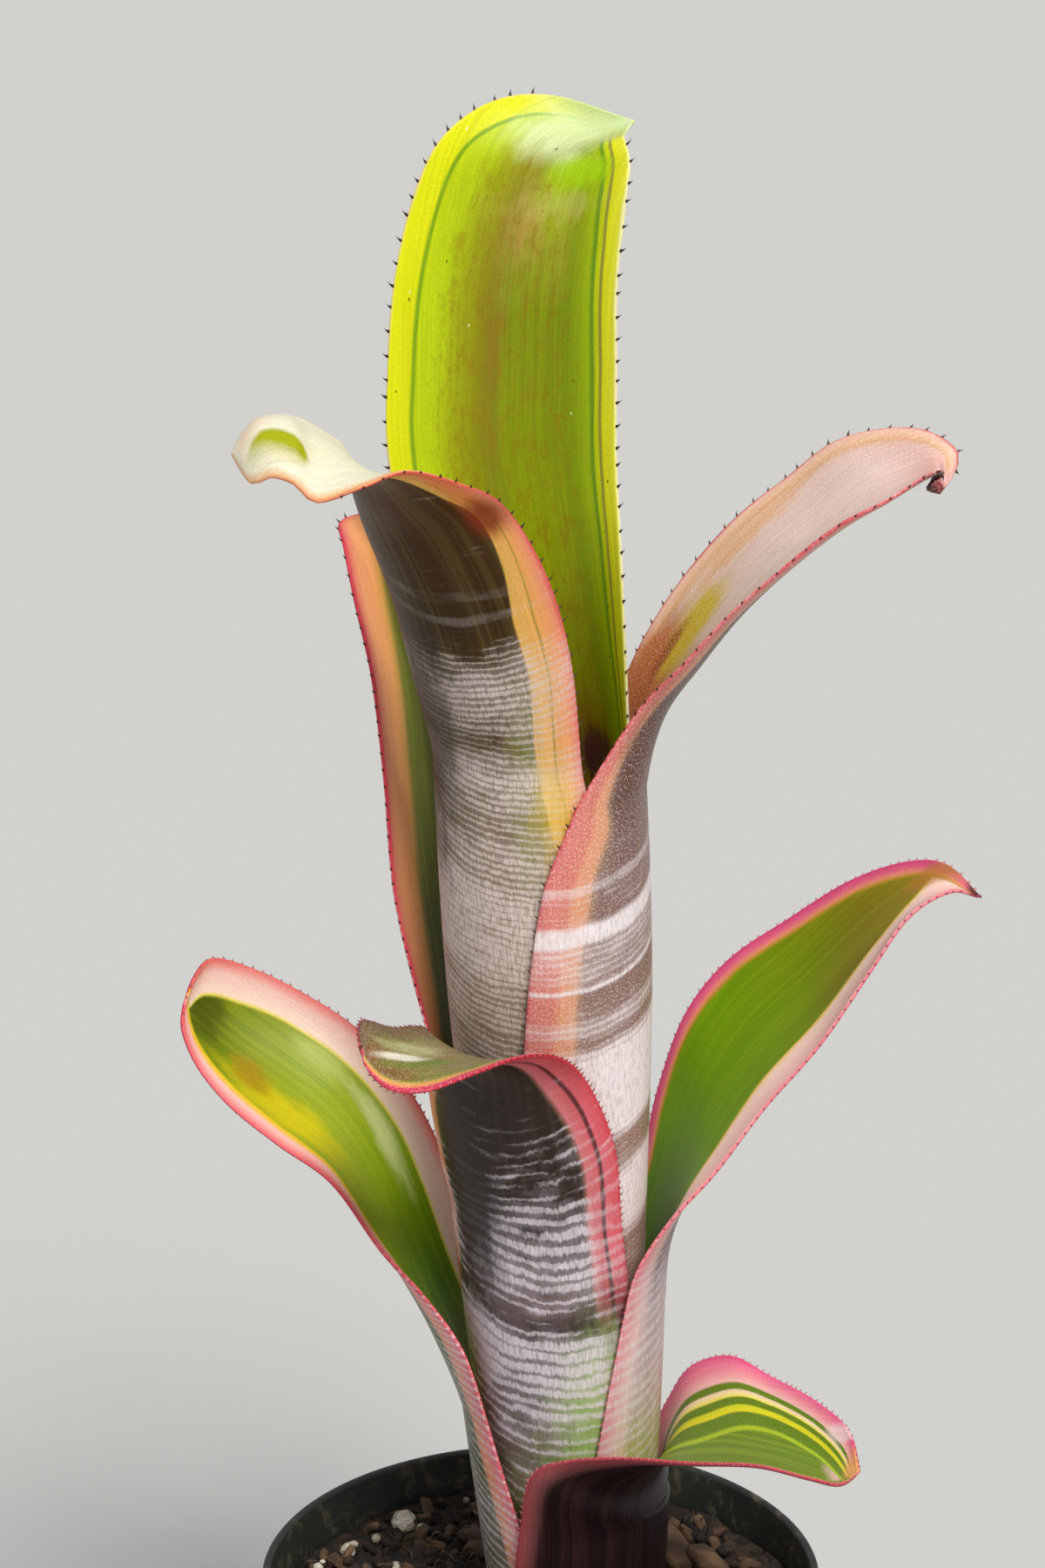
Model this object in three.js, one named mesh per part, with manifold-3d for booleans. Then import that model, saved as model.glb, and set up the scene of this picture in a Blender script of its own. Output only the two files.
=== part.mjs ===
// Potted Billbergia vittata with white-variegated leaves, in a round plastic nursery pot.
// Millimetres, +Z up. The origin is the centre of the pot's flat underside.
import * as THREE from 'three';
import { mergeVertices } from 'three/addons/utils/BufferGeometryUtils.js';
import Module from 'manifold-3d';

const wasm = await Module();
wasm.setup();

// Pot
const POT_HEIGHT = 90;
const POT_SIDES = 40;
const FOOT_RADIUS = 37;
const NECK_RADIUS = 48.4;
const NECK_HEIGHT = 77;
const RIM_RADIUS = 52.5;
const WALL = 1.6;
const FLOOR = 2.4;
const EDGE = 1;
const DRAIN_COUNT = 6;
const DRAIN_RADIUS = 3.5;
const DRAIN_RING_RADIUS = 25;
const DRAIN_SIDES = 12;

// Soil
const CLEARANCE = 0.3;
const SOIL_LEVEL = 82;
const SOIL_LUMP = 1.1;
const SOIL_RINGS = 5;
const CHIP_COUNT = 18;
const CHIP_SIZE = [14, 6, 3.2];
const CHIP_SIDES = 5;
const CHIP_END_RADII = [0.5, 0.62];
const CHIP_CLEAR = 8.7;
const GRAIN_COUNT = 14;
const GRAIN_RADIUS = 2.2;
const GRAIN_CLEAR = 3.3;
const PIECE_SCALE = [0.7, 1.15];
const PIECE_TILT = 0.5;
const PIECE_RISE = 0.4;
const TURN_BETWEEN_PIECES = 0.618;
const TURN_UNEVEN = 0.1;

// Tube of leaf bases: its outer radius by height, and the step inwards from layer to layer
const TUBE_RADIUS = [[70, 15.4], [100, 18], [130, 20.5], [165, 22.8], [210, 25.4], [260, 25.6]];
const LAYER_PITCH = 1.3;
const TUBE_X_AT_SOIL = 6.4;
const TUBE_LEAN = -0.045;
const ROOT_HEIGHT = 70;
const HOLE_RADIUS = 17.7;
const STEM_RADIUS = 5;
const STEM_TOP = 98;

// Leaf blades
const COLUMNS = 10;
const SHEATH_STEP = 18;
const BLADE_STEP = 7.5;
const STEPS_PER_SPAN = 0.8;
const SHEATH_THICKNESS = 0.7;
const MIDDLE_EXTRA = 0.4;
const SWELL_AT_FOOT = 0.15;
const SWELL_RATE = 1.4;
const SPINE_SPACING = 9;
const SPINE_UNEVEN = 0.15;
const SPINE_START = 92;
const SPINE_WIDTH = 1.2;
const SPINE_ROOM = 0.9;
const SPINE_REACH = 1.3;
const SPINE_LEAN = 0.7;

// Leaves from the outermost to the innermost. wrap gives half the angle that the sheath
// takes round the tube at a height. Each station of the blade above it is the margin on the
// clockwise side, the margin on the other side, and how deep the channel is between them.
const LEAVES = [
  {
    name: 'leaf_1_lowest_right', colour: 0x7d9a3a, azimuth: 325,
    wrap: [[70, 105], [85, 100], [99, 90], [106, 85]],
    stations: [
      [[-2, -20, 119], [21, 11, 113], 14.5],
      [[4, -24, 124], [24, 8, 121], 10.5],
      [[14, -31, 128], [28, 5, 129], 8],
      [[26, -39, 131], [35, -1, 134], 6.5],
      [[37, -46, 134], [42, -10, 134], 5],
      [[46, -51, 134], [49, -22, 135], 4],
      [[51, -53, 134], [54, -34, 135], 3],
      [[55, -46, 133], [55, -46, 133], 0],
    ],
  },
  {
    name: 'leaf_2_lower_left', colour: 0x6f8f35, azimuth: 165,
    wrap: [[70, 95], [100, 77], [125, 57]],
    stations: [
      [[-11, 17, 146], [-14, -13, 140], 8],
      [[-18, 20, 165], [-21, -9, 149], 8.5],
      [[-25, 23, 178], [-29, -4, 156], 7.5],
      [[-34, 26, 188], [-38, -1, 168], 6],
      [[-45, 28, 195], [-48, 3, 174], 5],
      [[-54, 27, 200], [-57, 7, 180], 4.5],
      [[-61, 24, 203], [-63, 11, 186], 3.5],
      [[-64, 20, 201], [-66, 14, 192], 2],
      [[-66, 17, 196], [-66, 17, 196], 0],
    ],
  },
  {
    name: 'leaf_3_lower_right', colour: 0x6c9430, azimuth: 8,
    wrap: [[70, 105], [100, 92], [125, 77], [146, 63]],
    stations: [
      [[17, -16, 157], [18, 19, 162], 6.5],
      [[23, -14, 166], [22, 22, 178], 5.5],
      [[31, -11, 174], [27, 24, 192], 4.5],
      [[40, -7, 185], [35, 26, 202], 3.8],
      [[50, -4, 196], [46, 26, 210], 3.4],
      [[59, -1, 209], [57, 24, 218], 3],
      [[66, 3, 218], [67, 20, 223], 2.6],
      [[74, 8, 221], [74, 15, 224], 1.4],
      [[80, 11, 219], [80, 11, 219], 0],
    ],
  },
  {
    name: 'leaf_4_lower_front', colour: 0x6b5560, azimuth: 247,
    wrap: [[70, 105], [110, 92], [140, 72], [166, 61]],
    stations: [
      [[-18, -3, 174], [13, -17, 181], 10],
      [[-20, -7, 189], [9, -20, 193], 9],
      [[-20.5, -13, 201.5], [4, -28, 202], 4.5],
      [[-22.5, -18, 204.5], [-3, -37, 206], 3],
      [[-26, -25, 206.8], [-11, -45, 206], 2],
      [[-29, -31, 209.9], [-19, -51, 205], 0.5],
      [[-31, -36, 212], [-25, -51, 205], 0],
      [[-31, -42, 211], [-29, -48, 207], 0],
      [[-30, -45, 209], [-30, -45, 209], 0],
    ],
  },
  {
    name: 'leaf_5_back_left', colour: 0x5c7040, azimuth: 150,
    wrap: [[70, 105], [120, 92], [155, 72], [178, 63]],
    stations: [
      [[0, 25, 197], [-20, -1, 196], 6.5],
      [[-4, 27, 220], [-26, 1, 221], 4],
      [[-8, 28, 237], [-28, 3, 244], 2.8],
      [[-10, 29, 253], [-30, 4, 262], 2.2],
      [[-13, 29, 268], [-33, 7, 275], 1.7],
      [[-17, 30, 279], [-35, 11, 284], 1.2],
      [[-23, 29.5, 284.5], [-36, 18, 287], 0.6],
      [[-31, 25.5, 287.5], [-31, 25.5, 287.5], 0],
    ],
  },
  {
    name: 'leaf_6_upper_right', colour: 0x9a7276, azimuth: 350,
    wrap: [[70, 105], [130, 104], [190, 96], [228, 80], [244, 60]],
    stations: [
      [[16, -14, 260], [15, 15, 259], 6.5],
      [[24, -15, 269], [21, 16, 271], 6],
      [[32, -15, 278], [28, 16, 281], 5.5],
      [[41, -15, 286], [35, 15, 289], 5],
      [[50, -14, 293], [43, 13, 296], 5],
      [[58, -13, 297], [51, 10, 303], 4.5],
      [[65, -11, 301], [60, 7, 306], 4],
      [[68, -9, 301.5], [67, 4, 306], 2.5],
      [[68.3, -6.5, 300], [71.8, 0.5, 303], 2],
      [[66, -5, 297.6], [71, -0.5, 299], 0.8],
      [[68.5, -3, 296.3], [68.5, -3, 296.3], 0],
    ],
  },
  {
    name: 'leaf_7_upper_left', colour: 0x6d5a50, azimuth: 235,
    wrap: [[70, 105], [130, 104], [190, 95], [250, 62]],
    stations: [
      [[-22, -2, 263], [5, -20, 270], 9],
      [[-26, -3, 279], [1, -24, 286], 8.5],
      [[-31, -5, 293], [-6, -28, 299], 7.5],
      [[-33, -8, 301], [-13, -33, 304], 6],
      [[-34, -10, 306], [-22, -37, 307], 3],
      [[-37, -13, 309], [-29, -40, 305], 0],
      [[-41, -17, 312], [-36.6, -41, 302.6], -2],
      [[-44, -20, 313], [-40.5, -40, 305.4], -3.5],
      [[-47, -23, 312.5], [-44.3, -38.5, 306.2], -4],
      [[-49.5, -26, 311], [-47.5, -36.5, 304.8], -3],
      [[-51, -31, 308.5], [-51, -31, 308.5], 0],
    ],
  },
  {
    name: 'leaf_8_centre', colour: 0xa3b52e, azimuth: 75,
    wrap: [[70, 105], [130, 104], [190, 100], [250, 76]],
    stations: [
      [[14, 1, 281], [-23, 10, 277], 9],
      [[13, 6, 301], [-27, 10, 300], 8],
      [[13, 8, 315], [-27, 12, 315], 7.5],
      [[13, 10, 330], [-26, 14, 329], 7],
      [[14.3, 12, 343], [-23, 17, 343], 6],
      [[15.2, 14, 350.5], [-18, 20, 354], 5],
      [[14.6, 16.5, 353.8], [-9, 25.5, 360.3], 4],
      [[14.4, 19.5, 355.2], [2, 30, 361], 3],
      [[16.2, 24, 357.2], [16.2, 24, 357.2], 0],
    ],
  },
];

// Numbers from 0 to 1, the same on every run
function seededRandom(seed) {
  let state = seed;
  return () => {
    state = (state * 16807) % 2147483647;
    return state / 2147483647;
  };
}

// Smooth curve through a short list of [x, y] points
function smoothAt(points, x) {
  const last = points.length - 1;
  let i = 0;
  while (i < last - 1 && x > points[i + 1][0]) i += 1;
  const slope = (j) => {
    const a = points[Math.max(j - 1, 0)];
    const b = points[Math.min(j + 1, last)];
    return (b[1] - a[1]) / (b[0] - a[0]);
  };
  const h = points[i + 1][0] - points[i][0];
  const t = (x - points[i][0]) / h;
  const t2 = t * t;
  const t3 = t2 * t;
  return (2 * t3 - 3 * t2 + 1) * points[i][1] + (t3 - 2 * t2 + t) * h * slope(i)
    + (3 * t2 - 2 * t3) * points[i + 1][1] + (t3 - t2) * h * slope(i + 1);
}

function tubeX(z) {
  return TUBE_X_AT_SOIL + TUBE_LEAN * (z - SOIL_LEVEL);
}

// One row across a leaf: its two margins and its middle
function sheathRow(leaf, layer, z) {
  const radius = smoothAt(TUBE_RADIUS, z) - layer * LAYER_PITCH;
  const half = smoothAt(leaf.wrap, z);
  const at = (degrees) => {
    const angle = THREE.MathUtils.degToRad(degrees);
    return new THREE.Vector3(tubeX(z) + radius * Math.cos(angle), radius * Math.sin(angle), z);
  };
  return { a: at(leaf.azimuth - half), b: at(leaf.azimuth + half), m: at(leaf.azimuth) };
}

// Rows of the blade's stations, with the middle pushed out by the channel's depth
function bladeRows(leaf, below) {
  const rows = leaf.stations.map(([a, b, depth]) => (
    { a: new THREE.Vector3(...a), b: new THREE.Vector3(...b), depth }));
  const middle = (row) => row.a.clone().add(row.b).multiplyScalar(0.5);
  const middles = [middle(below), ...rows.map(middle)];
  rows.forEach((row, i) => {
    const along = middles[Math.min(i + 2, rows.length)].clone().sub(middles[i]);
    const outward = row.b.clone().sub(row.a).cross(along).normalize();
    row.m = middles[i + 1].clone().addScaledVector(outward, row.depth);
  });
  return rows;
}

// Catmull-Rom spline through points, at a position counted in points
function splineAt(points, position) {
  const last = points.length - 1;
  const i = Math.min(Math.floor(position), last - 1);
  const t = position - i;
  const p1 = points[i];
  const p2 = points[i + 1];
  const p0 = i > 0 ? points[i - 1] : p1.clone().multiplyScalar(2).sub(p2);
  const p3 = i < last - 1 ? points[i + 2] : p2.clone().multiplyScalar(2).sub(p1);
  const weights = [
    -t + 2 * t ** 2 - t ** 3, 2 - 5 * t ** 2 + 3 * t ** 3,
    t + 4 * t ** 2 - 3 * t ** 3, t ** 3 - t ** 2];
  const point = new THREE.Vector3();
  [p0, p1, p2, p3].forEach((p, k) => point.addScaledVector(p, weights[k] / 2));
  return point;
}

// Points on the arc from margin a over the middle m to margin b
function arcPoints({ a, b, m }) {
  const centre = a.clone().add(b).multiplyScalar(0.5);
  const half = b.clone().sub(a).multiplyScalar(0.5);
  const bulge = m.clone().sub(centre);
  const angle = Math.max(2 * Math.atan2(bulge.length(), half.length()), 0.001);
  const points = [];
  for (let j = 0; j <= COLUMNS; j += 1) {
    const turn = (2 * j / COLUMNS - 1) * angle;
    const rise = (Math.cos(turn) - Math.cos(angle)) / (1 - Math.cos(angle));
    points.push(centre.clone().addScaledVector(half, Math.sin(turn) / Math.sin(angle))
      .addScaledVector(bulge, rise));
  }
  return points;
}

// Grid of points from the root to the apex, with how far up the blade each row is
function leafGrid(leaf, layer) {
  const sheathTop = leaf.wrap[leaf.wrap.length - 1][0];
  const grid = [];
  const blade = [];
  const sheathRows = Math.max(2, Math.round((sheathTop - ROOT_HEIGHT) / SHEATH_STEP));
  for (let i = 0; i <= sheathRows; i += 1) {
    const z = ROOT_HEIGHT + (sheathTop - ROOT_HEIGHT) * i / sheathRows;
    grid.push(arcPoints(sheathRow(leaf, layer, z)));
    blade.push(0);
  }
  const top = sheathRow(leaf, layer, sheathTop);
  const lower = sheathRow(leaf, layer, sheathTop - BLADE_STEP);
  const rows = [lower, top, ...bladeRows(leaf, top)];
  const line = (key) => rows.map((row) => row[key]);
  for (let i = 1; i < rows.length - 1; i += 1) {
    const span = Math.max(
      rows[i + 1].a.distanceTo(rows[i].a), rows[i + 1].b.distanceTo(rows[i].b));
    const steps = Math.max(1, Math.round(span * STEPS_PER_SPAN / BLADE_STEP));
    for (let k = 1; k <= steps; k += 1) {
      const u = i + k / steps;
      const row = { a: splineAt(line('a'), u), b: splineAt(line('b'), u), m: splineAt(line('m'), u) };
      grid.push(arcPoints(row));
      blade.push((u - 1) / (rows.length - 2));
    }
  }
  return { grid, blade };
}

function gridNormal(grid, i, j) {
  const up = Math.min(i + 1, grid.length - 2);
  const along = grid[up][j].clone().sub(grid[Math.max(i - 1, 0)][j]);
  const across = grid[i][Math.min(j + 1, COLUMNS)].clone().sub(grid[i][Math.max(j - 1, 0)]);
  return across.cross(along).normalize();
}

// The two faces of a leaf, half the thickness to each side of the grid. The last row is one
// point, the apex.
function leafFaces({ grid, blade }) {
  const outer = [];
  const inner = [];
  const last = grid.length - 1;
  for (let i = 0; i <= last; i += 1) {
    outer.push([]);
    inner.push([]);
    for (let j = 0; j <= COLUMNS; j += 1) {
      const across = 2 * j / COLUMNS - 1;
      const rise = blade[i] > 0 ? SWELL_AT_FOOT + SWELL_RATE * blade[i] : 0;
      const swell = Math.max(0, Math.sin(Math.PI * Math.min(1, rise)));
      const thickness = SHEATH_THICKNESS + MIDDLE_EXTRA * swell * (1 - across ** 2);
      const normal = i < last ? gridNormal(grid, i, j) : gridNormal(grid, last - 1, COLUMNS / 2);
      outer[i].push(grid[i][j].clone().addScaledVector(normal, thickness / 2));
      inner[i].push(grid[i][j].clone().addScaledVector(normal, -thickness / 2));
    }
  }
  return { outer, inner };
}

// Places of the spines on each step of one margin, as fractions of the step
function spinePlaces(edge, random) {
  const places = edge.map(() => []);
  const first = edge.findIndex((point) => point.z > SPINE_START);
  let next = SPINE_SPACING * random();
  for (let i = Math.max(first, 0); i < edge.length - 1; i += 1) {
    const length = edge[i].distanceTo(edge[i + 1]);
    while (next < length) {
      const middle = THREE.MathUtils.clamp(next, SPINE_ROOM, length - SPINE_ROOM);
      const taken = places[i].some((p) => Math.abs(p * length - middle) < 2 * SPINE_ROOM);
      if (length > 2 * SPINE_ROOM && !taken) places[i].push(middle / length);
      next += SPINE_SPACING * (1 + SPINE_UNEVEN * (2 * random() - 1));
    }
    next -= length;
  }
  return places;
}

// The triangles of a closed solid
class Triangles {
  positions = [];

  add(...corners) {
    corners.forEach((p) => this.positions.push(p.x, p.y, p.z));
  }

  quad(a, b, c, d) {
    this.add(a, b, c);
    this.add(a, c, d);
  }

  geometry() {
    const geometry = new THREE.BufferGeometry();
    geometry.setAttribute('position', new THREE.Float32BufferAttribute(this.positions, 3));
    return mergeVertices(geometry);
  }
}

function middleOf(points) {
  const middle = new THREE.Vector3();
  points.forEach((p) => middle.addScaledVector(p, 1 / points.length));
  return middle;
}

// Both faces up to the margins, split alike into triangles, and the thin end at the root
function addFaces(triangles, { outer, inner }) {
  const last = outer.length - 1;
  const both = (a, b, c) => {
    triangles.add(outer[a[0]][a[1]], outer[b[0]][b[1]], outer[c[0]][c[1]]);
    triangles.add(inner[a[0]][a[1]], inner[c[0]][c[1]], inner[b[0]][b[1]]);
  };
  for (let i = 0; i < last; i += 1) {
    for (let j = 0; j < COLUMNS; j += 1) {
      const left = j < COLUMNS / 2;
      const above = i === last - 1 ? [last, 0] : [i + 1, left ? j : j + 1];
      const atMargin = j === 0 || j === COLUMNS - 1;
      if (!atMargin) both([i, j], [i, j + 1], above);
      if (i < last - 1) both([i, left ? j + 1 : j], [i + 1, j + 1], [i + 1, j]);
    }
  }
  for (let j = 0; j < COLUMNS; j += 1) {
    triangles.quad(outer[0][j + 1], outer[0][j], inner[0][j], inner[0][j + 1]);
  }
}

// One step of a margin: its thin edge and the triangles beside it, cut where spines stand
function addMarginStep(triangles, { outer, inner }, i, side, places) {
  const beside = side === 0 ? 1 : COLUMNS - 1;
  const ends = [outer[i][side], outer[i + 1][side], inner[i][side], inner[i + 1][side]];
  const half = SPINE_WIDTH / 2 / ends[0].distanceTo(ends[1]);
  const cuts = [0, ...places.flatMap((p) => [p - half, p + half]), 1];
  const outerCut = cuts.map((f) => ends[0].clone().lerp(ends[1], f));
  const innerCut = cuts.map((f) => ends[2].clone().lerp(ends[3], f));
  const edge = middleOf([outer[i][side], inner[i][side]]);
  const out = edge.sub(middleOf([outer[i][beside], inner[i][beside]])).normalize();
  const up = ends[1].clone().sub(ends[0]).normalize();
  for (let k = 0; k < cuts.length - 1; k += 1) {
    const strip = [outerCut[k], outerCut[k + 1], innerCut[k + 1], innerCut[k]];
    if (side === 0) {
      triangles.add(outerCut[k], outer[i][beside], outerCut[k + 1]);
      triangles.add(innerCut[k], innerCut[k + 1], inner[i][beside]);
    } else {
      triangles.add(outer[i][beside], outerCut[k], outerCut[k + 1]);
      triangles.add(inner[i][beside], innerCut[k + 1], innerCut[k]);
      strip.reverse();
    }
    const hasSpine = k % 2 === 1;
    if (hasSpine) {
      const point = middleOf(strip).addScaledVector(out, SPINE_REACH).addScaledVector(up, SPINE_LEAN);
      strip.forEach((p, n) => triangles.add(p, strip[(n + 1) % strip.length], point));
    } else {
      triangles.quad(...strip);
    }
  }
}

// A closed solid of one leaf, with spines raised on both margins
function leafGeometry(leaf, layer) {
  const random = seededRandom(100 + layer);
  const faces = leafFaces(leafGrid(leaf, layer));
  const triangles = new Triangles();
  addFaces(triangles, faces);
  for (const side of [0, COLUMNS]) {
    const places = spinePlaces(faces.outer.map((row) => row[side]), random);
    for (let i = 0; i < places.length - 1; i += 1) {
      addMarginStep(triangles, faces, i, side, places[i]);
    }
  }
  return triangles.geometry();
}

function toManifold(geometry) {
  const bare = geometry.clone();
  bare.deleteAttribute('normal');
  bare.deleteAttribute('uv');
  const merged = mergeVertices(bare);
  return new wasm.Manifold(new wasm.Mesh({
    numProp: 3,
    vertProperties: new Float32Array(merged.attributes.position.array),
    triVerts: new Uint32Array(merged.index.array),
  }));
}

function fromManifold(solid) {
  const mesh = solid.getMesh();
  const geometry = new THREE.BufferGeometry();
  geometry.setAttribute('position', new THREE.BufferAttribute(new Float32Array(mesh.vertProperties), 3));
  geometry.setIndex(new THREE.BufferAttribute(new Uint32Array(mesh.triVerts), 1));
  return geometry;
}

function namedMesh(name, geometry, colour, roughness) {
  const material = new THREE.MeshStandardMaterial({ color: colour, roughness, metalness: 0 });
  const mesh = new THREE.Mesh(geometry, material);
  mesh.name = name;
  return mesh;
}

// Profile of radius and height turned round the Z axis
function turned(profile) {
  const points = profile.map(([radius, z]) => new THREE.Vector2(radius, z));
  return new THREE.LatheGeometry(points, POT_SIDES).rotateX(Math.PI / 2);
}

// Inside of the pot, from the floor to the mouth
function potInside(gap) {
  return [
    [FOOT_RADIUS - WALL - gap, FLOOR + gap], [NECK_RADIUS - WALL - gap, NECK_HEIGHT],
    [RIM_RADIUS - 2 * WALL - gap, NECK_HEIGHT + 2 * WALL], [RIM_RADIUS - WALL - gap, POT_HEIGHT - EDGE]];
}

function potGeometry() {
  const profile = [
    [0, 0], [FOOT_RADIUS - EDGE, 0], [FOOT_RADIUS, EDGE], [NECK_RADIUS, NECK_HEIGHT],
    [RIM_RADIUS - EDGE, NECK_HEIGHT + EDGE], [RIM_RADIUS, POT_HEIGHT - EDGE],
    [RIM_RADIUS - EDGE / 2, POT_HEIGHT], [RIM_RADIUS - WALL + EDGE / 4, POT_HEIGHT],
    ...potInside(0).reverse(), [0, FLOOR]];
  let pot = toManifold(turned(profile));
  for (let i = 0; i < DRAIN_COUNT; i += 1) {
    const angle = 2 * Math.PI * i / DRAIN_COUNT;
    const drain = new THREE.CylinderGeometry(DRAIN_RADIUS, DRAIN_RADIUS, 4 * FLOOR, DRAIN_SIDES)
      .rotateX(Math.PI / 2)
      .translate(DRAIN_RING_RADIUS * Math.cos(angle), DRAIN_RING_RADIUS * Math.sin(angle), 0);
    pot = pot.subtract(toManifold(drain));
  }
  return fromManifold(pot);
}

// Height of the soil's lumpy surface: a sum of three waves, each finer than the one before
function soilHeight(x, y) {
  const broad = 0.5 * Math.sin(0.21 * x + 1.3) * Math.cos(0.17 * y);
  const slanting = 0.3 * Math.sin(0.43 * x - 0.37 * y);
  const fine = 0.2 * Math.cos(0.61 * y + 0.29 * x);
  return SOIL_LEVEL + SOIL_LUMP * (broad + slanting + fine);
}

// Soil with a plain hole for the leaf bases. Its rings move over from the hole's centre to
// the pot's.
function soilBody() {
  const [bottom, neck, shoulder] = potInside(CLEARANCE);
  const holeX = tubeX(ROOT_HEIGHT);
  const rings = [];
  const ring = (radius, centreX, height) => {
    const points = [];
    for (let k = 0; k < POT_SIDES; k += 1) {
      const angle = 2 * Math.PI * k / POT_SIDES;
      const x = centreX + radius * Math.sin(angle);
      const y = radius * Math.cos(angle);
      points.push([x, y, height(x, y)]);
    }
    rings.push(points);
  };
  ring(HOLE_RADIUS, holeX, () => ROOT_HEIGHT - CLEARANCE);
  for (let i = 0; i <= SOIL_RINGS; i += 1) {
    const share = i / SOIL_RINGS;
    const radius = HOLE_RADIUS + (shoulder[0] - HOLE_RADIUS) * share;
    ring(radius, holeX * (1 - share), soilHeight);
  }
  ring(shoulder[0], 0, () => shoulder[1]);
  ring(neck[0], 0, () => neck[1]);
  ring(bottom[0], 0, () => bottom[1]);
  const positions = [];
  const indices = [];
  rings.flat().forEach((p) => positions.push(...p));
  positions.push(holeX, 0, ROOT_HEIGHT - CLEARANCE, 0, 0, bottom[1]);
  const holeCentre = rings.length * POT_SIDES;
  for (let k = 0; k < POT_SIDES; k += 1) {
    const next = (k + 1) % POT_SIDES;
    indices.push(holeCentre, next, k);
    for (let i = 0; i < rings.length - 1; i += 1) {
      const [a, b] = [i * POT_SIDES + k, i * POT_SIDES + next];
      const [c, d] = [a + POT_SIDES, b + POT_SIDES];
      indices.push(a, b, d, a, d, c);
    }
    const lowest = (rings.length - 1) * POT_SIDES;
    indices.push(holeCentre + 1, lowest + k, lowest + next);
  }
  const geometry = new THREE.BufferGeometry();
  geometry.setAttribute('position', new THREE.Float32BufferAttribute(positions, 3));
  geometry.setIndex(indices);
  return toManifold(geometry);
}

// A bar of bark, tapered to one end
function chipGeometry(scale) {
  return new THREE.CylinderGeometry(...CHIP_END_RADII, 1, CHIP_SIDES).rotateZ(Math.PI / 2)
    .scale(...CHIP_SIZE.map((side) => side * scale));
}

// Angular chips of bark and round pale grains, half sunk in the soil between tube and rim
function soilGeometry() {
  const random = seededRandom(7);
  const between = (low, high) => low + (high - low) * random();
  let soil = soilBody();
  for (let i = 0; i < CHIP_COUNT + GRAIN_COUNT; i += 1) {
    const isChip = i < CHIP_COUNT;
    const angle = 2 * Math.PI * (i * TURN_BETWEEN_PIECES + TURN_UNEVEN * random());
    const clear = isChip ? CHIP_CLEAR : GRAIN_CLEAR;
    const radius = between(HOLE_RADIUS + clear, RIM_RADIUS - 2 * WALL - clear);
    const share = (radius - HOLE_RADIUS) / (RIM_RADIUS - HOLE_RADIUS);
    const x = tubeX(ROOT_HEIGHT) * (1 - share) + radius * Math.cos(angle);
    const y = radius * Math.sin(angle);
    const scale = between(...PIECE_SCALE);
    const piece = isChip ? chipGeometry(scale) : new THREE.IcosahedronGeometry(GRAIN_RADIUS * scale);
    piece.rotateY(PIECE_TILT * (random() - 0.5));
    piece.rotateX(PIECE_TILT * (random() - 0.5));
    piece.rotateZ(2 * Math.PI * random());
    piece.translate(x, y, soilHeight(x, y) + PIECE_RISE * scale);
    soil = soil.add(toManifold(piece));
  }
  return fromManifold(soil);
}

// Short woody stem inside the leaf bases
function stemGeometry() {
  const profile = [
    [0, ROOT_HEIGHT], [STEM_RADIUS, ROOT_HEIGHT], [STEM_RADIUS + EDGE, STEM_TOP - 3 * EDGE],
    [STEM_RADIUS - EDGE, STEM_TOP - EDGE], [0, STEM_TOP]];
  return turned(profile).translate(tubeX(ROOT_HEIGHT), 0, 0);
}

const plant = new THREE.Group();
plant.add(namedMesh('pot', potGeometry(), 0x1d211c, 0.55));
plant.add(namedMesh('soil', soilGeometry(), 0x2c2019, 0.95));
plant.add(namedMesh('stem', mergeVertices(stemGeometry().deleteAttribute('uv')), 0x7c6a45, 0.8));
LEAVES.forEach((leaf, layer) => {
  plant.add(namedMesh(leaf.name, leafGeometry(leaf, layer), leaf.colour, 0.45));
});

export default plant;
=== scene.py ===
import math
import random

import bpy
import numpy as np
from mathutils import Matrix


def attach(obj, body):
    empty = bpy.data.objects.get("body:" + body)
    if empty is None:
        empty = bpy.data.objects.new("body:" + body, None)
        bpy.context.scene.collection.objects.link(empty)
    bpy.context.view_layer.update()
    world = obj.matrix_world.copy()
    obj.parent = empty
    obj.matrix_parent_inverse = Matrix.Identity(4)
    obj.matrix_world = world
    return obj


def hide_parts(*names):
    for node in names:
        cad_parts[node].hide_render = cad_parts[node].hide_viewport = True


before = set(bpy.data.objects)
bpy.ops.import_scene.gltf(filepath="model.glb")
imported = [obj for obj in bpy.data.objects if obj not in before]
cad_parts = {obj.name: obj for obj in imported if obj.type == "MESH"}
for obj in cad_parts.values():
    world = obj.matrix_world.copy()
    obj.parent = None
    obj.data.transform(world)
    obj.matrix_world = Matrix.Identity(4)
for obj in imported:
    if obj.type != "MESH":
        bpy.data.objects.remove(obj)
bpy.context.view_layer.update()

MM = 0.001

# Camera, from the photograph's view: it looks along +Y and down
CAMERA_PLACE = (-0.0034, -0.6293, 0.4240)
CAMERA_PITCH_DOWN = 16
CAMERA_LENS = 85
CAMERA_SENSOR = 36

# Light and floor
SKY_COLOUR = (0.93, 0.96, 1.0, 1)
SKY_STRENGTH = 0.42
SUN_PLACE = (0.35, -0.75, 1.05)
SUN_COLOUR = (1.0, 0.97, 0.92)
SUN_STRENGTH = 2.7
SUN_SOFTNESS = 24
FLOOR_SIZE = 24
FLOOR_PLACE = (0, 4, 0)
FLOOR_COLOUR = (204, 204, 202)

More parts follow.
